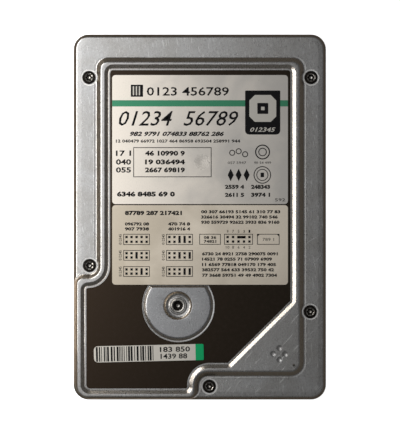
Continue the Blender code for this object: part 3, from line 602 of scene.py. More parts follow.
def moulded(name, colour, roughness, grain_size=0.2, depth=0.006):
    """Moulded plastic, rubber or epoxy with a fine spark-eroded grain."""
    f = Finish(name, roughness)
    grain = f.noise(grain_size, rough=0.6)
    shade = f.mix(f.spread(f.noise(3.0), 0.3, 0.7), dimmed(colour, 0.6), colour)
    rough = f.spread(grain, 0.2, 0.8, roughness - 0.08, roughness + 0.1)
    return f.use(colour=shade, roughness=rough, normal=f.bump(grain, depth))


def solder_mask():
    """A green board: copper tracks under the mask, with rows of small vias."""
    f = Finish("solder_mask", 0.3, coat=0.3, coat_roughness=0.15)
    along = f.spread(f.cells(1.6, (1.0, 9.0, 1.0), "DISTANCE_TO_EDGE"), 0.05, 0.10, 1.0, 0.0)
    across = f.spread(f.cells(1.6, (9.0, 1.0, 1.0), "DISTANCE_TO_EDGE"), 0.05, 0.10, 1.0, 0.0)
    side = f.spread(f.noise(9.0, detail=0.0), 0.49, 0.51)
    lines = f.combine("ADD", f.combine("MULTIPLY", along, side),
                      f.combine("MULTIPLY", across, f.combine("SUBTRACT", 1.0, side)))
    vias = f.spread(f.cells(3.4), 0.07, 0.10, 1.0, 0.0)
    colour = f.mix(lines, (0.006, 0.075, 0.032), (0.020, 0.17, 0.075))
    colour = f.mix(vias, colour, (0.50, 0.47, 0.36))
    return f.use(colour=colour, normal=f.bump(f.combine("MAXIMUM", lines, vias), 0.02))


def woven(name, colour, pitch):
    """Filter cloth: two sets of fine threads."""
    f = Finish(name, 0.85)
    warp = f.noise(pitch, (1.0, 6.0, 1.0), 45.0)
    weft = f.noise(pitch, (1.0, 6.0, 1.0), -45.0)
    cloth = f.combine("MAXIMUM", warp, weft)
    shade = f.mix(f.spread(cloth, 0.4, 0.7), dimmed(colour, 0.6), colour)
    return f.use(colour=shade, normal=f.bump(cloth, 0.05))


# Cover


def squeeze(value, limit, share):
    """A coordinate past the limit keeps only this share of what lies beyond."""
    beyond = max(0.0, abs(value) - limit)
    return math.copysign(min(abs(value), limit) + share * beyond, value)


def plateau_outline(distance):
    """The plateau's edge moved outward, crowded where the cover's own edge is near."""
    end_x, end_y = -PLATEAU[4][0], -PLATEAU[4][1]
    moved = grow(PLATEAU, distance)
    return outline([(squeeze(x, end_x, 0.45), squeeze(y, end_y, 0.35), radius) for x, y, radius in moved])


def cover_shell(material):
    """The stamped cover: flange, plateau, pocket and pivot disc, hollow under its raised parts."""
    edge = rounded_box(HALF_X, HALF_Y, CORNER)

    def flange(bm):
        line = profile([
            (0.0, COVER_BOTTOM, 0.0), (0.0, FLANGE_TOP - 1.05, 0.1), (-1.2, FLANGE_TOP - 0.07, 0.9),
            (-3.2, FLANGE_TOP, 0.5), (-4.0, FLANGE_TOP, 0.0),
        ])
        add_grown(bm, edge, line)

    def plateau(bm):
        line = profile([
            (3.3, FLANGE_TOP - 1.0, 0.0), (3.3, FLANGE_TOP - 0.02, 0.02), (3.0, FLANGE_TOP + 0.04, 0.2),
            (2.0, FLANGE_TOP - 0.01, 0.7), (0.1, CREST, 1.1), (-2.0, CREST, 0.0),
        ])
        add_loft(bm, [(plateau_outline(d), z) for d, z in line])

    def pocket(bm):
        line = profile([
            (-2.6, POCKET_FLOOR, 0.0), (-1.7, POCKET_FLOOR, 0.1), (-1.5, POCKET_FLOOR - 0.15, 0.1),
            (-1.3, POCKET_FLOOR, 0.1), (-0.1, CREST, 0.45),
            (0.9, CREST + 0.02, 0.1), (0.9, CREST + 2.0, 0.0),
        ])
        add_grown(bm, POCKET, line)

    def disc(bm):
        line = profile([
            (14.4, POCKET_FLOOR - 0.6, 0.0), (14.4, POCKET_FLOOR + 0.06, 0.02), (14.0, POCKET_FLOOR, 0.1),
            (12.9, CREST, 1.1), (11.0, CREST, 0.0),
        ])
        add_loft(bm, [(flat_disc(r, 7.2 + 0.5 * (r - 12.5)), z) for r, z in line])

    def hollow(bm):
        add_grown(bm, PLATEAU, [(-1.2, COVER_BOTTOM - 0.5), (-1.2, HOLLOW_TOP)])

    def over_chamber(bm):
        add_grown(bm, CAVITY, [(-0.3, COVER_BOTTOM - 1.0), (-0.3, HOLLOW_TOP + 1.0)])

    def filter_nest(bm):
        add_box(bm, (25.8, -61.2, COVER_BOTTOM - 0.5), (39.4, -49.8, HOLLOW_TOP))

    def bores(bm):
        well = [
            (1.7, COVER_BOTTOM - 1.0), (1.7, SEAT), (2.75, SEAT), (2.75, SEAT + 0.58), (3.3, SEAT + 0.6),
            (3.38, FLANGE_TOP + 0.02), (3.8, FLANGE_TOP + 0.3), (3.9, CREST + 1.0),
        ]
        for name in COVER_SCREWS:
            add_round(bm, well, 48, *middle_mm(name).xy)
        seat = [(1.4, HOLLOW_TOP - 0.5), (1.4, 24.5), (3.4, 24.5), (3.4, CREST)]
        add_round(bm, seat, 36, *SPINDLE)
        bowl = [
            (1.4, HOLLOW_TOP - 0.5), (1.4, 24.9), (2.75, 24.9), (2.8, 25.15), (2.95, 25.26), (3.15, 25.3),
            (3.4, 25.26), (3.6, 25.15), (3.7, 24.95), (4.1, 24.93), (4.6, 25.05), (5.0, 25.3), (5.3, 25.6),
            (5.5, 25.85), (5.7, CREST - 0.06), (6.1, CREST + 0.02), (6.1, CREST + 1.0),
        ]
        add_round(bm, bowl, 64, *PIVOT)

    def dimples(bm):
        bowl = [
            (0.35, CREST - 0.26), (0.7, CREST - 0.23), (0.95, CREST - 0.14), (1.1, CREST - 0.04),
            (1.3, CREST + 0.02), (1.5, CREST + 0.5),
        ]
        for x, y in ((31.9, -52.6), (29.4, -54.9), (34.2, -55.0), (31.9, -57.2)):
            add_round(bm, bowl, 24, x, y)
        add_round(bm, [(0.5, HOLLOW_TOP - 0.5), (0.5, CREST + 1.0)], 16, 37.8, -59.5)

    room = solid("cover_room", hollow, [("INTERSECT", over_chamber)])
    steps = [
        ("UNION", plateau), ("DIFFERENCE", pocket), ("UNION", disc), ("DIFFERENCE", room),
        ("DIFFERENCE", filter_nest), ("DIFFERENCE", bores), ("DIFFERENCE", dimples),
    ]
    dress(solid("cover_shell", flange, steps), material, nodes=["top_cover"])


def dent(x, y):
    """How far the main label sinks over the screw under it."""
    away = (Vector((x, y)) - DENT_AT).length / DENT_RADIUS
    return DENT_DEPTH * (1 + math.cos(math.pi * away)) / 2 if away < 1 else 0.0


def sheet(material):
    """The damping sheet, open round the pivot disc and over the spindle screw."""
    def shape(bm):
        holes = [flat_disc(14.6, 8.2), circle(DENT_RADIUS + 0.8, 32, *DENT_AT)]
        add_plate(bm, [outline(grow(POCKET, -SHEET_INSET)), *holes], SHEET_TOP - 0.2, SHEET_TOP)

    piece("sheet_film", shape, material, nodes=["damping_sheet"])


def label_outline(node, radius):
    """A label's corners, a little inside its CAD box at the left and the right."""
    low, high = box_mm(node)
    low.x += LABEL_TRIM[0]
    high.x -= LABEL_TRIM[1]
    x, y = (low.xy + high.xy) / 2
    return rounded_box((high.x - low.x) / 2, (high.y - low.y) / 2, radius, x, y)


def main_label(material):
    """The large label, sunk a little over the spindle screw."""

    def shape(bm):
        edges = []
        for z in (LABEL_TOP - LABEL_THICK, LABEL_TOP):
            edge = ring(bm, outline(label_outline("main_label", 1.3), 5), z)
            radii = [DENT_RADIUS * step / 8 for step in range(8, 0, -1)]
            bowl = [ring(bm, circle(r, 32, *DENT_AT), z - dent(DENT_AT.x + r, DENT_AT.y)) for r in radii]
            fill(bm, [edge, bowl[0]])
            bridge(bm, bowl)
            fill(bm, bowl[-1:])
            edges.append(edge)
        bridge(bm, edges)

    piece("label_main", shape, material, nodes=["main_label"])


def flat_label(name, node, material, corners):
    """A label of constant thickness on the sheet."""

    def shape(bm):
        add_plate(bm, [outline(corners, 5)], LABEL_TOP - LABEL_THICK, LABEL_TOP)

    piece(name, shape, material, nodes=[node])


# Printing: digits and plain shapes only

CELL = 0.8
MOST_CELLS = 400
DIGIT_WIDTH = 0.78


class Print:
    """Flat shapes in one ink, gathered into one mesh just above a label."""

    def __init__(self, seed=1, lift=0.02):
        self.bm = bmesh.new()
        self.random = random.Random(seed)
        self.lift = lift

    def shape(self, *loops):
        fill(self.bm, [ring(self.bm, points, 0.0) for points in loops])

    def bar(self, left, bottom, right, top):
        """A rectangle, cut into short lengths so that it can follow a dent."""
        across = max(1, round((right - left) / CELL))
        up = max(1, round((top - bottom) / CELL))
        if across * up > MOST_CELLS:
            across = up = 1
        xs = [left + (right - left) * k / across for k in range(across + 1)]
        ys = [bottom + (top - bottom) * k / up for k in range(up + 1)]
        rows = [ring(self.bm, [(x, y) for x in xs], 0.0) for y in ys]
        for low, high in zip(rows, rows[1:]):
            for k in range(across):
                self.bm.faces.new((low[k], low[k + 1], high[k + 1], high[k]))

    def box(self, left, bottom, right, top, line=0.15):
        self.bar(left, bottom, right, bottom + line)
        self.bar(left, top - line, right, top)
        self.bar(left, bottom + line, left + line, top - line)
        self.bar(right - line, bottom + line, right, top - line)

    def hoop(self, x, y, radius, line, parts=36):
        rings = [ring(self.bm, circle(r, parts, x, y), 0.0) for r in (radius - line, radius)]
        bridge(self.bm, rings)

    def digits(self, text, left, bottom, right, top, weight=0.0, slant=0.0, upright=True):
        """Digits fitted to a box. When not upright they read from the bottom to the top."""
        curve = bpy.data.curves.new("digits", "FONT")
        curve.body = text
        curve.offset = weight
        curve.shear = slant
        curve.resolution_u = 2
        obj = link("digits", curve)
        first = len(self.bm.verts)
        self.bm.from_mesh(final_mesh(obj))
        bpy.data.objects.remove(obj, do_unlink=True)
        self.bm.verts.ensure_lookup_table()
        verts = self.bm.verts[first:]
        if not upright:
            for vert in verts:
                vert.co.x, vert.co.y = -vert.co.y, vert.co.x
        low = Vector((min(v.co.x for v in verts), min(v.co.y for v in verts)))
        high = Vector((max(v.co.x for v in verts), max(v.co.y for v in verts)))
        for vert in verts:
            vert.co.x = left + (right - left) * (vert.co.x - low.x) / (high.x - low.x)
            vert.co.y = bottom + (top - bottom) * (vert.co.y - low.y) / (high.y - low.y)

    def number_line(self, left, y, right, high, weight=0.0, slant=0.0):
        """A line of digit groups of mixed lengths that fills the width."""
        room = round((right - left) / (DIGIT_WIDTH * high))
        text = ""
        while len(text) < room:
            count = self.random.choice((2, 3, 4, 5, 6))
            text += "".join(self.random.choice("0123456789") for _ in range(count)) + " "
        self.digits(text[:room].strip(), left, y - high / 2, right, y + high / 2, weight, slant)

    def finish(self, name, material, place=None):
        """The mesh as a piece. A place turns and moves what was drawn about the origin."""
        self.bm.verts.ensure_lookup_table()
        if place:
            bmesh.ops.transform(self.bm, matrix=place, verts=self.bm.verts)
        for vert in self.bm.verts:
            vert.co.z = LABEL_TOP + self.lift - dent(vert.co.x, vert.co.y)
        for face in self.bm.faces:
            face.normal_update()
            if face.normal.z < 0:
                face.normal_flip()
        bmesh.ops.scale(self.bm, vec=(MM, MM, MM), verts=self.bm.verts)
        mesh = bpy.data.meshes.new(name)
        self.bm.to_mesh(mesh)
        self.bm.free()
        mesh.materials.append(material)
        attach(link(name, mesh), "base")


def main_print(black, green, white):
    """The main label's stripe, lines of digits, frame and corner block."""
    stripe = Print()
    edge = label_outline("main_label", 0.0)
    stripe.bar(edge[1][0] + 0.02, 44.4, 18.2, 46.9)
    stripe.bar(32.3, 44.4, edge[0][0] - 0.02, 46.9)
    stripe.finish("print_stripe", green)

    dark = Print(3)
    dark.bar(-27.7, 48.3, -22.8, 53.1)
    dark.digits("0123 456789", -21.3, 48.7, 11.7, 52.2, 0.012)
    dark.digits("01234  56789", -32.5, 36.6, 15.4, 42.6, 0.004, 0.3)
    dark.number_line(-28.1, 33.4, 9.7, 1.9, 0.04, 0.3)
    dark.number_line(-33.7, 30.5, 16.2, 1.3, 0.03)
    dark.box(-26.7, 16.0, 4.7, 28.0, 0.28)
    for y in (25.6, 22.1, 18.9):
        dark.number_line(-33.7, y, -27.6, 2.2, 0.03)
        dark.number_line(-22.0, y, -6.0, 2.1, 0.045)
    dark.number_line(-33.3, 9.2, -10.0, 2.1, 0.05)
    shield = [(18.2, 50.8, 0.4), (18.2, 33.1, 1.6), (32.3, 33.1, 1.6), (32.3, 50.8, 0.4)]
    dark.shape(outline(shield, 4))
    marks_on(dark)
    dark.finish("print_black", black)

    light = Print(5, 0.04)
    for x in (-26.9, -25.7, -24.5):
        light.bar(x, 48.9, x + 0.5, 52.5)
    cut_corners = outline(rounded_box(5.4, 5.4, 2.2, 25.3, 43.6), 1)
    light.shape(cut_corners, outline(rounded_box(2.2, 2.2, 0.3, 25.3, 43.6)))
    light.bar(24.6, 42.9, 26.0, 44.3)
    light.digits("012345", 20.2, 34.2, 30.4, 36.0, 0.02, 0.3)
    light.finish("print_white", white)


def marks_on(dark):
    """Plain rings, bars and diamonds at the label's right, with lines of digits."""
    for x, y in ((13.0, 25.8), (15.6, 26.4), (18.2, 25.2)):
        dark.hoop(x, y, 1.2, 0.35, 24)
    for centre, radius, line in (
        ((25.2, 26.1), 3.0, 0.45), ((25.2, 26.1), 1.7, 0.35),
        ((25.1, 16.9), 3.5, 0.35), ((25.1, 16.9), 2.4, 0.3),
    ):
        dark.hoop(*centre, radius, line)
    dark.number_line(11.2, 21.8, 18.6, 1.0)
    dark.number_line(21.8, 21.8, 28.6, 1.0)
    for x in (12.4, 15.6, 18.8):
        dark.shape([(x - 1.2, 16.9), (x, 14.4), (x + 1.2, 16.9), (x, 19.4)])
    dark.bar(24.4, 16.0, 25.8, 17.8)
    for y in (12.1, 8.9):
        dark.number_line(10.1, y, 17.8, 1.7, 0.05)
        dark.number_line(20.6, y, 28.2, 1.7, 0.05)
    dark.number_line(30.2, 6.9, 34.3, 1.2)


def pin_chart(dark, left, bottom, right, top, joined=()):
    """A box with two rows of five dots. Joined columns are bars in place of their dots."""
    dark.box(left, bottom, right, top, 0.24)
    for column in range(5):
        x = (left + right) / 2 + (column - 2) * (right - left) / 5.25
        if column + 1 in joined:
            dark.bar(x - 0.46, bottom + 0.75, x + 0.46, top - 0.75)
            continue
        for y in (bottom + 1.25, top - 1.25):
            dark.bar(x - 0.47, y - 0.47, x + 0.47, y + 0.47)


def jumper_print(black):
    """Rows of digits, six pin charts and a small plan of the connectors on the jumper label."""
    dark = Print(11)
    dark.number_line(-30.1, 1.6, -7.2, 1.8, 0.05)
    for left, right in ((-30.1, -20.4), (-12.8, -3.9)):
        for y in (-2.8, -4.8):
            dark.number_line(left, y, right, 1.35, 0.045)
    rows = ((-11.2, -6.8), (-17.5, -13.3), (-24.0, -19.8))
    for (bottom, top), joined in zip(rows, ((), (3,), (4,))):
        pin_chart(dark, -30.7, bottom, -20.1, top, joined)
        dark.digits("012345", -32.5, bottom + 0.1, -31.4, top - 0.1, 0.01, upright=False)
    for (bottom, top), joined in zip(rows, ((3, 4), (3, 5), (4, 5))):
        pin_chart(dark, -13.5, bottom, -2.8, top, joined)
        dark.digits("012345", -15.2, bottom + 0.1, -14.1, top - 0.1, 0.01, upright=False)
    for y, right in ((2.1, 32.3), (0.0, 31.3), (-2.1, 32.0)):
        dark.number_line(0.5, y, right, 1.35, 0.045)
    dark.box(-0.2, -11.1, 8.4, -6.8, 0.24)
    dark.number_line(1.6, -8.2, 6.6, 1.2, 0.03)
    dark.number_line(1.6, -9.8, 6.6, 1.2, 0.03)
    pin_chart(dark, 9.8, -11.1, 21.3, -6.8)
    dark.bar(15.0, -8.6, 18.4, -7.6)
    for column, (odd, even) in enumerate((("9", "10"), ("7", "8"), ("5", "6"), ("3", "4"), ("1", "2"))):
        x = 15.55 + (column - 2) * 2.19
        dark.digits(odd, x - 0.35, -6.3, x + 0.35, -5.2)
        dark.digits(even, x - 0.35 * len(even), -12.7, x + 0.35 * len(even), -11.6)
    dark.box(23.0, -11.1, 32.0, -6.8, 0.24)
    dark.shape([(23.0, -6.8), (23.0, -8.0), (24.2, -6.8)])
    dark.shape([(32.0, -6.8), (30.8, -6.8), (32.0, -8.0)])
    dark.number_line(25.2, -9.0, 29.8, 1.2)
    for y, right in ((-14.8, 31.3), (-16.9, 29.0), (-19.1, 30.6), (-21.2, 29.8), (-23.4, 31.0)):
        dark.number_line(0.9, y, right, 1.35, 0.045)
    dark.finish("print_jumper", black)


def serial_print(black, green, centre):
    """Bars and digits on the serial label, with a coloured tab at its end."""
    place = Matrix.Translation((*centre, 0.0)) @ Matrix.Rotation(SERIAL_TURN, 4, "Z")
    half_x, half_y = SERIAL_HALF
    bars = Print(17)
    x = -21.2
    while x < 1.6:
        wide = bars.random.choice((0.28, 0.28, 0.5, 0.75))
        bars.bar(x, -2.95, x + wide, 2.95)
        x += wide + bars.random.choice((0.28, 0.45, 0.7))
    bars.number_line(4.5, 1.35, 16.6, 2.1, 0.02)
    bars.number_line(4.7, -1.4, 15.4, 2.1, 0.02)
    bars.finish("print_serial", black, place)
    tab = Print()
    tab_edge = [(half_x, half_y, 0.5), (18.8, half_y, 0.1), (18.8, -half_y, 0.1), (half_x, -half_y, 0.5)]
    tab.shape(outline(tab_edge, 4))
    tab.finish("print_tab", green, place)


def labels():
    """The three labels, with their films and inks."""
    black = ink("ink_black", (0.005, 0.005, 0.006), (0.04, 0.037, 0.034))
    green = ink("ink_green", (0.055, 0.27, 0.15), (0.16, 0.38, 0.27))
    bright_green = ink("ink_bright_green", (0.008, 0.48, 0.17), (0.07, 0.50, 0.25))
    white = ink("ink_white", (0.62, 0.60, 0.55), (0.45, 0.43, 0.39))
    # The last number is each film's painted light across it: the paper darker to the right, the beige film
    # lighter to the right.
    paper = label_film("label_paper", (0.87, 0.81, 0.73), (0.60, 0.575, 0.54), 0.42, -0.3)
    beige = label_film("label_beige_film", (0.87, 0.785, 0.66), (0.61, 0.54, 0.435), 0.45, 0.22)
    main_label(paper)
    main_print(black, green, white)
    flat_label("label_jumper", "jumper_label", beige, label_outline("jumper_label", 1.3))
    jumper_print(black)
    centre = middle_mm("serial_label").xy
    spun = Matrix.Rotation(SERIAL_TURN, 2)
    square = rounded_box(*SERIAL_HALF, 0.0)
    radii = (0.5, 1.6, 1.6, 0.5)
    corners = [(*(spun @ Vector(corner[:2]) + centre), radius) for corner, radius in zip(square, radii)]
    light_paper = label_film("label_light_paper", (0.78, 0.75, 0.68), (0.72, 0.68, 0.62), 0.42)
    flat_label("label_serial", "serial_label", light_paper, corners)
    serial_print(black, bright_green, centre)


# Fasteners


def screw_levels(head, high, socket, shank, long, parts=60):
    """A lobed-socket screw's outlines and heights, from the shank's end to the socket's floor."""
    outside = [
        (0.7 * shank, -long), (shank, -long + 0.4), (shank, 0.0), (head - 0.1, 0.0), (head, 0.1),
        (head, 0.82 * high), (0.985 * head, 0.94 * high), (0.95 * head, high), (1.28 * socket, high),
        (1.22 * socket, high - 0.05),
    ]
    lobes = [(1.02 * socket, high - 0.22), (0.98 * socket, high - 0.85)]
    floor = [(0.4 * socket, high - 0.87), (0.08 * socket, high - 1.05)]
    levels = [(circle(r, parts), z) for r, z in outside]
    levels += [(star(r, 0.13 * socket, parts), z) for r, z in lobes]
    return levels + [(circle(r, parts), z) for r, z in floor]


def screw(node, z, levels, finishes, bare, way=1):
    """A screw in place of a CAD one, with its head's underside at z. With way -1 its head is down.

    Its metal is bare between each two of these distances from its axis.
    """
    centre = middle_mm(node).xy

    def shape(bm):
        add_loft(bm, [([p + centre for p in points], z + way * height) for points, height in levels])

    made = piece(f"{node}_lobed", shape, finishes[0], nodes=[node])
    made.data.materials.append(finishes[1])
    for face in made.data.polygons:
        off_axis = (face.center.xy / MM - centre).length
        on_head = way * (face.center.z / MM - z) > 0.1
        if on_head and any(low < off_axis < high for low, high in bare):
            face.material_index = 1


def screws(oxide, bare):
    """The cover's screws, the two on the fixed shafts and the board's."""
    finishes = (oxide, bare)
    cover = screw_levels(2.65, 1.25, 1.3, 1.4, 7.0)
    for name in COVER_SCREWS:
        screw(name, SEAT + 0.05, cover, finishes, [(0.0, 0.5), (1.35, 1.7)])
    pivot = screw_levels(2.7, 1.1, 1.65, 1.15, 4.0)
    screw("pivot_screw", 24.95, pivot, finishes, [(0.0, 0.6), (2.0, 2.8)])
    shallow = screw_levels(3.0, 0.6, 1.4, 1.15, 3.8)[:-3]
    screw("spindle_screw", 24.55, shallow, finishes, [(1.4, 1.8)])
    board = screw_levels(2.2, 1.1, 1.1, 1.0, 4.6)
    for name in BOARD_SCREWS:
        screw(name, BOARD_BOTTOM - 0.05, board, finishes, [(1.1, 1.5)], -1)


# Base, circuit board and connectors


def add_along_x(bm, y, z, levels, parts=24):
    """A round body along X through (radius, x) levels."""
    rings = [[bm.verts.new((x, y + p.x, z + p.y)) for p in circle(r, parts)] for r, x in levels]
    bridge(bm, rings)
    bm.faces.new(rings[0])
    bm.faces.new(rings[-1])


def threaded(start, end, pitch=0.8):
    """The (radius, position) levels of a tapped hole, wide at its start."""
    count = int(abs(end - start) / pitch)
    step = math.copysign(pitch, end - start)
    levels = [(2.1, start - step), (2.1, start), (1.6, start + 0.5 * step)]
    for turn in range(1, count):
        levels += [(1.75, start + (turn + 0.1) * step), (1.45, start + (turn + 0.6) * step)]
    return levels


def base_shell(material):
    """The cast base, with rounded edges, a parting line, side pads, tapped holes and ejector marks."""
    edge = rounded_box(HALF_X, HALF_Y, CORNER)
    space = outline(rounded_box(44.2, 60.0, 1.0, 0.0, -14.0))
    hub = circle(20.4, 72, *SPINDLE)

    def body(bm):
        levels = [
            (-0.5, 0.0), (-0.15, 0.15), (0.0, 0.5), (0.0, RAIL_TOP - 0.1), (-0.3, RAIL_TOP + 0.05),
            (-0.2, RAIL_TOP + 0.3), (-0.25, RIM - 0.4), (-0.4, RIM - 0.1), (-0.7, RIM),
        ]
        add_grown(bm, edge, levels)

    def chamber(bm):
        add_grown(bm, CAVITY, [(0.0, CHAMBER_FLOOR), (0.0, LEDGE), (1.2, LEDGE), (1.2, RIM + 1.0)])

    def motor_well(bm):
        add_turned(bm, [(8.4, 3.4), (17.6, 3.4), (17.6, CHAMBER_FLOOR + 0.5), (8.4, CHAMBER_FLOOR + 0.5)],
                   72, *SPINDLE)

    def stator_boss(bm):
        levels = [(7.2, 3.4), (7.2, 8.6), (9.0, 8.6), (9.0, CHAMBER_FLOOR + 1.0)]
        add_round(bm, levels, 72, *SPINDLE)

    def board_space(bm):
        add_plate(bm, [space, hub], -1.0, BOARD_TOP + 0.05)

    def above_board(bm):
        bosses = [circle(3.0, 24, *middle_mm(name).xy) for name in BOARD_SCREWS]
        add_plate(bm, [space, hub, *bosses], BOARD_TOP, DECK_BOTTOM)

    def motor_underside(bm):
        levels = [
            (21.0, -1.0), (21.0, 1.4), (18.2, 1.4), (18.2, 1.7), (17.0, 1.7), (17.0, 1.4),
            (6.0, 1.4), (5.2, 1.9),
        ]
        add_round(bm, levels, 72, *SPINDLE)

    def connector_room(bm):
        add_box(bm, (-48.3, -75.0, -2.0), (48.3, -64.2, ROOM_TOP))

    def front_recess(bm):
        add_plate(bm, [outline(rounded_box(44.2, 12.0, 2.0, 0.0, 58.0))], -1.0, 3.2)
        for x in (-36.0, -12.0, 12.0, 36.0):
            add_round(bm, [(2.6, 3.0), (2.6, 3.45)], 32, x, 62.0)

    def drills(bm):
        for name in COVER_SCREWS:
            add_round(bm, [(1.6, 14.5), (1.6, RIM + 1.0)], 24, *middle_mm(name).xy)
        for name in BOARD_SCREWS:
            add_round(bm, [(1.1, 3.0), (1.1, 8.3)], 24, *middle_mm(name).xy)
        for x in (-47.625, 47.625):
            for y in (-32.22, 12.23):
                add_round(bm, threaded(0.0, 6.0), 24, x, y)
        add_round(bm, [(2.6, 0.0), (2.6, 5.0)], 48, *SPINDLE)
        add_round(bm, [(2.6, 5.0), (2.6, 10.0)], 48, *PIVOT)
        add_box(bm, (2.0, -52.0, 5.0), (12.0, -49.0, 10.0))

    def sides_work(bm):
        levels = threaded(HALF_X, HALF_X - 6.0)
        for side in (-1, 1):
            inner, outer = side * (HALF_X - 0.35), side * (HALF_X + 1.0)
            for y in SIDE_HOLES:
                add_along_x(bm, y, 6.35, [(r, side * x) for r, x in levels])
            for low, high in ((-60.0, -52.5), (-37.5, -10.9), (4.1, 49.1)):
                add_box(bm, (inner, low, 1.6), (outer, high, RAIL_TOP - 1.2))

    shapes = (chamber, motor_well, stator_boss, board_space, above_board, motor_underside, connector_room,
              front_recess, drills, sides_work)
    shell = solid("base_shell", body, [("DIFFERENCE", shape) for shape in shapes])
    dress(shell, material, nodes=["base_casting"])


def board_plate(material):
    """The board, with its wider tail under the connectors."""
    corners = [
        (43.6, 45.4, 1.0), (-43.6, 45.4, 1.0), (-43.6, -64.8, 0.5), (-47.6, -64.8, 0.5),
        (-47.6, -73.0, 0.8), (47.6, -73.0, 0.8), (47.6, -64.8, 0.5), (43.6, -64.8, 0.5),
    ]

    def shape(bm):
        holes = [circle(1.4, 24, *middle_mm(name).xy) for name in BOARD_SCREWS]
        add_plate(bm, [outline(corners, 5), circle(21.2, 72, *SPINDLE), *holes], BOARD_BOTTOM, BOARD_TOP)

    piece("board_plate", shape, material, nodes=["circuit_board"])


def add_lead(bm, root, way, wide, reach):
    """A bent lead from a chip's side at this root, down on to the board along the way."""
    across = Vector((-way.y, way.x)) * wide / 2
    foot = BOARD_BOTTOM - 0.14
    bend = [(-0.2, LEAD_ROOT), (0.3 * reach, LEAD_ROOT), (0.5 * reach, foot), (reach, foot)]
    line = bend + [(out, z + 0.12) for out, z in reversed(bend)]
    rings = [
        [bm.verts.new((*(root + way * out + across * side), z)) for out, z in line] for side in (-1, 1)
    ]
    bridge(bm, rings)
    for points in rings:
        for k in range(3):
            bm.faces.new((points[k], points[k + 1], points[6 - k], points[7 - k]))


def chip(name, node, per_side, pitch, epoxy, tin):
    """A square chip with leads on four sides, inside its CAD box."""
    low, high = box_mm(node)
    middle = (low.xy + high.xy) / 2
    half = (high.x - low.x) / 2 - 1.3

    def body(bm):
        levels = [
            (-0.5, low.z), (-0.2, low.z + 0.1), (0.0, low.z + 0.85), (-0.05, low.z + 0.95),
            (-0.3, high.z - 0.1),
        ]
        add_loft(bm, [(outline(rounded_box(half + d, half + d, 0.5, *middle), 3), z) for d, z in levels])

    def mark(bm):
        x, y = middle - Vector((half - 2.0, half - 2.0))
        add_round(bm, [(0.8, low.z - 0.5), (0.8, low.z + 0.15)], 24, x, y)

    def leads(bm):
        for quarter in range(4):
            turned = Matrix.Rotation(quarter * math.pi / 2, 2)
            for k in range(per_side):
                root = middle + turned @ Vector((half, (k - (per_side - 1) / 2) * pitch))
                add_lead(bm, root, turned @ Vector((1.0, 0.0)), 0.45 * pitch, 1.25)

    dress(solid(f"{name}_body", body, [("DIFFERENCE", mark)]), epoxy, nodes=[node])
    piece(f"{name}_leads", leads, tin)


def board_sites():
    """Free places on the board's underside for small parts, as (x, y, kind)."""
    pick = random.Random(7)
    taken = [(SPINDLE, 24.5)]
    taken += [(middle_mm(name).xy, 5.0) for name in BOARD_SCREWS]
    for x in range(-39, 40, 6):
        for y in range(-54, 43, 5):
            at = Vector((x + pick.uniform(-0.8, 0.8), y + pick.uniform(-0.8, 0.8)))
            inside = any(
                max(abs(at.x - middle_mm(node).x), abs(at.y - middle_mm(node).y)) < room
                for node, room in (("controller_chip", 14.5), ("motor_driver_chip", 9.0))
            )
            kind = pick.choice(("small", "small", "pair", "tantalum", "eight"))
            if inside or any((at - centre).length < room for centre, room in taken):
                continue
            yield at, kind


def board_parts(epoxy, tin, ceramic, tantalum):
    """Ceramic chips, tantalum blocks, eight-lead chips and solder joints on the underside.

    The blocks' metal ends are gathered while the blocks are drawn, and drawn last.
    """
    sites = list(board_sites())
    ends = []

    def add_block(bm, at, half_x, half_y, high, ends_wide=0.0):
        inner = half_x - ends_wide
        top = BOARD_BOTTOM - high
        levels = [(0.06, top), (0.0, top + 0.08), (0.0, BOARD_BOTTOM - 0.02)]
        add_loft(bm, [(outline(rounded_box(inner - d, half_y - d, 0.08, *at), 2), z) for d, z in levels])
        for side in (-1, 1) if ends_wide else ():
            ends.append((at.x + side * (half_x - ends_wide / 2), at.y, ends_wide / 2, half_y, high))

    def small(bm):
        for at, kind in sites:
            for k in range({"small": 1, "pair": 2}.get(kind, 0)):
                add_block(bm, at + Vector((0.0, 1.9 * k)), 1.0, 0.62, 0.55, 0.3)

    def blocks(bm):
        for at, kind in sites:
            if kind == "tantalum":
                add_block(bm, at, 1.8, 1.4, 1.6, 0.3)

    def eights(bm):
        for at, kind in sites:
            if kind == "eight":
                add_block(bm, at, 1.95, 1.9, 1.4)

    def metalwork(bm):
        for x, y, half_x, half_y, high in ends:
            edge = outline(rounded_box(half_x + 0.02, half_y + 0.02, 0.08, x, y), 2)
            add_loft(bm, [(edge, BOARD_BOTTOM - high - 0.02), (edge, BOARD_BOTTOM - 0.01)])
        for at, kind in sites:
            for k in range(8 if kind == "eight" else 0):
                side = -1 if k < 4 else 1
                root = at + Vector((side * 1.9, (k % 4 - 1.5) * 0.95))
                add_lead(bm, root, Vector((side, 0.0)), 0.4, 1.0)
        joints = [(INTERFACE_X + (k - 9.5) * PITCH, y, 0.75) for k in range(20) for y in JOINT_ROWS]
        joints += [(POWER_X + (k - 1.5) * POWER_PITCH, -67.5, 1.5) for k in range(4)]
        joints += [(JUMPER_X + (k - 2) * PITCH, y, 0.75) for k in range(5) for y in JOINT_ROWS]
        for x, y, radius in joints:
            cone = [(1.0, 0.0), (0.7, 0.2), (0.45, 0.5), (0.4, 0.8), (0.25, 0.95)]
            add_round(bm, [(radius * r, BOARD_BOTTOM + 0.02 - z) for r, z in cone], 16, x, y)

    piece("ceramic_chips", small, ceramic)
    piece("tantalum_blocks", blocks, tantalum)
    piece("eight_lead_chips", eights, epoxy)
    piece("board_metalwork", metalwork, tin)


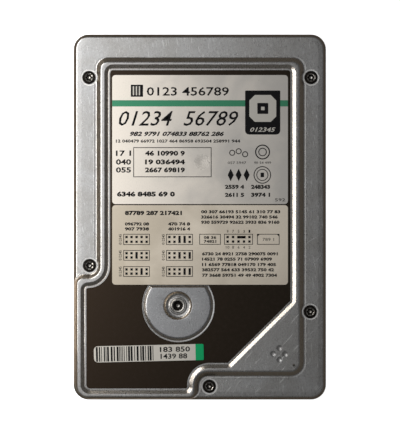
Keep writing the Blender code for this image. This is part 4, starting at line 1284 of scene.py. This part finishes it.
def add_pin(bm, x, z, start, end):
    """A square pin along Y with a tapered tip."""
    corners = [(PIN_HALF, PIN_HALF), (-PIN_HALF, PIN_HALF), (-PIN_HALF, -PIN_HALF), (PIN_HALF, -PIN_HALF)]
    square = [(x + across, z + up) for across, up in corners]
    tip = [(x + 0.4 * across, z + 0.4 * up) for across, up in corners]
    add_along_y(bm, [(square, start), (square, end + 0.6), (tip, end)])


def moulded_shell(name, node, corners, wall, floor, cuts, plastic):
    """A connector's shell around its socket, from the corners of its outline in X and Z."""
    low, high = box_mm(node)
    face = low.y

    def sections(edge, levels):
        return [(outline(grow(edge, d), 4), y) for d, y in levels]

    def outside(bm):
        add_along_y(bm, sections(corners, [
            (-0.2, high.y), (0.0, high.y - 0.2), (0.0, face + 0.25), (-0.25, face),
        ]))

    def socket(bm):
        room = grow(corners, -wall)
        add_along_y(bm, sections(room, [(0.0, floor), (0.0, face + 0.6), (0.6, face - 0.05)]))

    shell = solid(name, outside, [("DIFFERENCE", socket), ("DIFFERENCE", cuts)])
    dress(shell, plastic, nodes=[node])


def connectors(plastic, plating):
    """The interface, power and jumper connectors at the rear, each a moulding with plated pins."""
    low, high = box_mm("interface_connector")
    face, top, middle = low.y, high.z, (low.z + high.z) / 2
    corners = rounded_box(28.0, top - middle, 0.3, INTERFACE_X, middle)

    def interface_cuts(bm):
        add_box(bm, (INTERFACE_X - 2.2, face - 1.0, middle), (INTERFACE_X + 2.2, -69.0, top + 1.0))
        for x in (-26.0, -13.0, 13.0, 26.0):
            left = INTERFACE_X + x - 1.5
            add_box(bm, (left, face + 2.0, top - 0.3), (left + 3.0, face + 7.6, top + 1.0))

    def power_cuts(bm):
        for x in (-9.4, 6.4):
            add_box(bm, (POWER_X + x, face + 6.0, top - 0.4), (POWER_X + x + 3.0, face + 8.0, top + 1.0))

    def interface_pins(bm):
        for column in range(20):
            x = INTERFACE_X + (column - 9.5) * PITCH
            for row in (-1, 1):
                if (column, row) != (9, -1):
                    add_pin(bm, x, middle + row * PITCH / 2, -66.0, -72.4)

    def power_pins(bm):
        for k in range(4):
            x = POWER_X + (k - 1.5) * POWER_PITCH
            sections = [(1.05, -65.8), (1.05, -71.3), (0.95, -71.7), (0.7, -71.95), (0.35, -72.0)]
            add_along_y(bm, [(circle(r, 24, x, middle - 0.2), y) for r, y in sections])

    def strip(bm):
        low, high = box_mm("jumper_block")
        for column in range(5):
            x = JUMPER_X + (column - 2) * PITCH
            left, right = x - PITCH / 2, x + PITCH / 2
            cell = [(right, 11.6, 0.4), (left, 11.6, 0.4), (left, low.z, 0.1), (right, low.z, 0.1)]
            face = outline(grow(cell, -0.15), 3)
            add_along_y(bm, [(outline(cell, 3), high.y), (outline(cell, 3), -68.25), (face, -68.4)])

    def jumper_pins(bm):
        for column in range(5):
            for z in JUMPER_ROWS:
                add_pin(bm, JUMPER_X + (column - 2) * PITCH, z, -67.6, -72.9)

    moulded_shell("interface_shell", "interface_connector", corners, 1.4, -66.7, interface_cuts, plastic)
    piece("interface_pins", interface_pins, plating)
    low, high = box_mm("power_connector")
    corners = [
        (high.x, low.z, 0.4), (high.x, high.z - 2.4, 0.4), (high.x - 2.4, high.z, 0.4),
        (low.x + 2.4, high.z, 0.4), (low.x, high.z - 2.4, 0.4), (low.x, low.z, 0.4),
    ]
    moulded_shell("power_shell", "power_connector", corners, 1.5, -66.5, power_cuts, plastic)
    piece("power_pins", power_pins, plating)
    piece("jumper_strip", strip, plastic, nodes=["jumper_block"])
    piece("jumper_pins", jumper_pins, plating)


def shunt(plastic, plating):
    """The jumper shunt: a small moulding with two blind holes, two windows and its contact."""
    x, y, z = middle_mm("jumper_shunt")

    def body(bm):
        block = rounded_box(2.4, 2.3, 0.4, x, y)
        levels = [(-0.2, -1.1), (0.0, -0.9), (0.0, 0.9), (-0.2, 1.1)]
        add_grown(bm, block, [(d, z + up) for d, up in levels], 5)

    def holes(bm):
        for side in (-1, 1):
            middle = x + side * PITCH / 2
            room = rounded_box(0.44, 0.44, 0.05, middle, z)
            wide = outline(grow(room, 0.3), 2)
            add_along_y(bm, [(outline(room, 2), y - 2.1), (outline(room, 2), y + 2.0), (wide, y + 2.35)])
            add_box(bm, (middle - 0.35, y - 1.1, z + 0.8), (middle + 0.35, y + 0.9, z + 1.5))
        add_box(bm, (x - 0.25, y - 2.5, z + 0.7), (x + 0.25, y + 2.5, z + 1.5))

    def contact(bm):
        for side in (-1, 1):
            middle = x + side * PITCH / 2
            add_box(bm, (middle - 0.3, y - 1.0, z + 0.5), (middle + 0.3, y + 0.8, z + 0.72))

    shell = solid("shunt_body", body, [("DIFFERENCE", holes)])
    dress(shell, plastic, "shunt", ["jumper_shunt"])
    piece("shunt_contact", contact, plating, "shunt")


# Interior, kept from the CAD model


def interior():
    """Finishes for the CAD nodes that stay, by the slots that they have in the record."""
    steel = metal("ground_steel", (0.60, 0.61, 0.63), (0.52, 0.52, 0.54), 0.22, stretch=(1.0, 8.0, 1.0))
    layers = (12.0, 12.0, 1.0)
    wound = (9.0, 9.0, 1.0)
    finishes = {
        "black_rubber": moulded("gasket_rubber", (0.025, 0.025, 0.026), 0.75, 0.3, 0.01),
        "filter_fabric": woven("filter_cloth", (0.78, 0.78, 0.75), 0.25),
        "bright_steel": steel,
        "stator_steel": metal("laminations", (0.24, 0.24, 0.25), (0.18, 0.18, 0.19), 0.42, 0.3, layers),
        "enamelled_copper": metal("copper_wire", (0.66, 0.27, 0.11), (0.48, 0.17, 0.06), 0.3, 0.2, wound),
        "turned_aluminium": turned_metal("lathe_aluminium", (0.72, 0.73, 0.75), 0.24, SPINDLE, 0.35),
        "plated_magnet": metal("nickel_plate", (0.56, 0.56, 0.57), (0.48, 0.47, 0.46), 0.18, 0.5),
        "platter_surface": turned_metal("platter_mirror", (0.80, 0.79, 0.78), 0.05, SPINDLE, 0.8),
        "flex_film": moulded("polyimide_film", (0.46, 0.20, 0.045), 0.32, 0.5, 0.002),
        "connector_black": moulded("bracket_plastic", (0.022, 0.022, 0.023), 0.48),
        "black_screw": black_oxide(),
    }
    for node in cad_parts.values():
        slot = node.data.materials[0].name.split(".")[0]
        if slot in finishes and not node.hide_render:
            node.data.materials.clear()
            node.data.materials.append(finishes[slot])


# Studio

CAMERA_HEIGHT = 0.9
HALF_VIEW = 87.1486 * MM
WHITE = (1.0, 1.0, 1.0)
WARM = (1.0, 0.98, 0.95)


def area_light(name, at, aim, size, watts, colour):
    """A rectangular light that the camera doesn't see. Lengths are in metres."""
    light = bpy.data.lights.new(name, "AREA")
    light.shape = "RECTANGLE"
    light.size, light.size_y = size
    light.energy = watts
    light.color = colour
    obj = link(name, light)
    obj.location = at
    obj.rotation_euler = (Vector(aim) - Vector(at)).to_track_quat("-Z", "Y").to_euler()
    obj.visible_camera = False
    return obj


def studio():
    """A pale floor, a broad soft light overhead, a small near one with its fill, and the camera."""
    floor = link("floor", mesh_of("floor", lambda bm: add_plate(bm, [circle(2500.0, 64)], -0.5, 0.0)))
    finish = Finish("floor_paper", 0.9)
    grain = finish.noise(30.0)
    finish.use(colour=finish.mix(grain, (0.93, 0.93, 0.93), (0.96, 0.96, 0.96)))
    finish.shader.inputs["Emission Color"].default_value = (1.0, 1.0, 1.0, 1.0)
    finish.shader.inputs["Emission Strength"].default_value = 0.95
    floor.data.materials.append(finish.material)
    floor.visible_glossy = False
    floor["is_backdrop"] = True

    world = bpy.data.worlds.new("room")
    world.use_nodes = True
    world.node_tree.nodes["Background"].inputs["Color"].default_value = (0.11, 0.11, 0.11, 1.0)
    bpy.context.scene.world = world
    bpy.context.scene.view_settings.view_transform = "Standard"
    area_light("softbox", (-0.25, 0.165, 0.7), (-0.25, 0.165, 0.0), (0.44, 0.57), 1.03, WHITE)
    near = ((-0.088, 0.03, 0.075), (0.0, 0.02, 0.02), (0.18, 0.02))
    area_light("near_key", *near, 0.085, WARM)
    area_light("near_fill", *near, 0.033, WARM).visible_glossy = False

    camera = bpy.data.cameras.new("camera")
    camera.lens = camera.sensor_width / 2 * CAMERA_HEIGHT / HALF_VIEW
    obj = link("camera", camera)
    obj.location = (0.08 * MM, 0.0, LABEL_TOP * MM + CAMERA_HEIGHT)
    bpy.context.scene.camera = obj


def build():
    cover_shell(stamped_metal())
    sheet(sheet_film())
    labels()
    screws(black_oxide(), metal("bare_socket", (0.62, 0.60, 0.56), (0.40, 0.37, 0.33), 0.26, 0.5))
    base_shell(cast_metal())
    board_plate(solder_mask())
    epoxy = moulded("chip_epoxy", (0.020, 0.020, 0.021), 0.5, 0.15, 0.004)
    tin = metal("solder_tin", (0.66, 0.66, 0.65), (0.50, 0.50, 0.49), 0.3, 0.4)
    plating = metal("gold_plating", (0.86, 0.66, 0.30), (0.70, 0.50, 0.22), 0.24, 0.2, (1.0, 6.0, 1.0))
    chip("controller", "controller_chip", 40, 0.45, epoxy, tin)
    chip("motor_driver", "motor_driver_chip", 16, 0.55, epoxy, tin)
    ceramic = moulded("ceramic", (0.42, 0.33, 0.22), 0.5)
    tantalum = moulded("tantalum", (0.62, 0.36, 0.04), 0.4)
    board_parts(epoxy, tin, ceramic, tantalum)
    connectors(moulded("connector_plastic", (0.024, 0.024, 0.025), 0.42), plating)
    shunt(moulded("shunt_plastic", (0.72, 0.71, 0.67), 0.45), plating)
    interior()
    studio()
    [[list(corner) for corner in box] for box in (CAD_BOX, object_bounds())]


build()
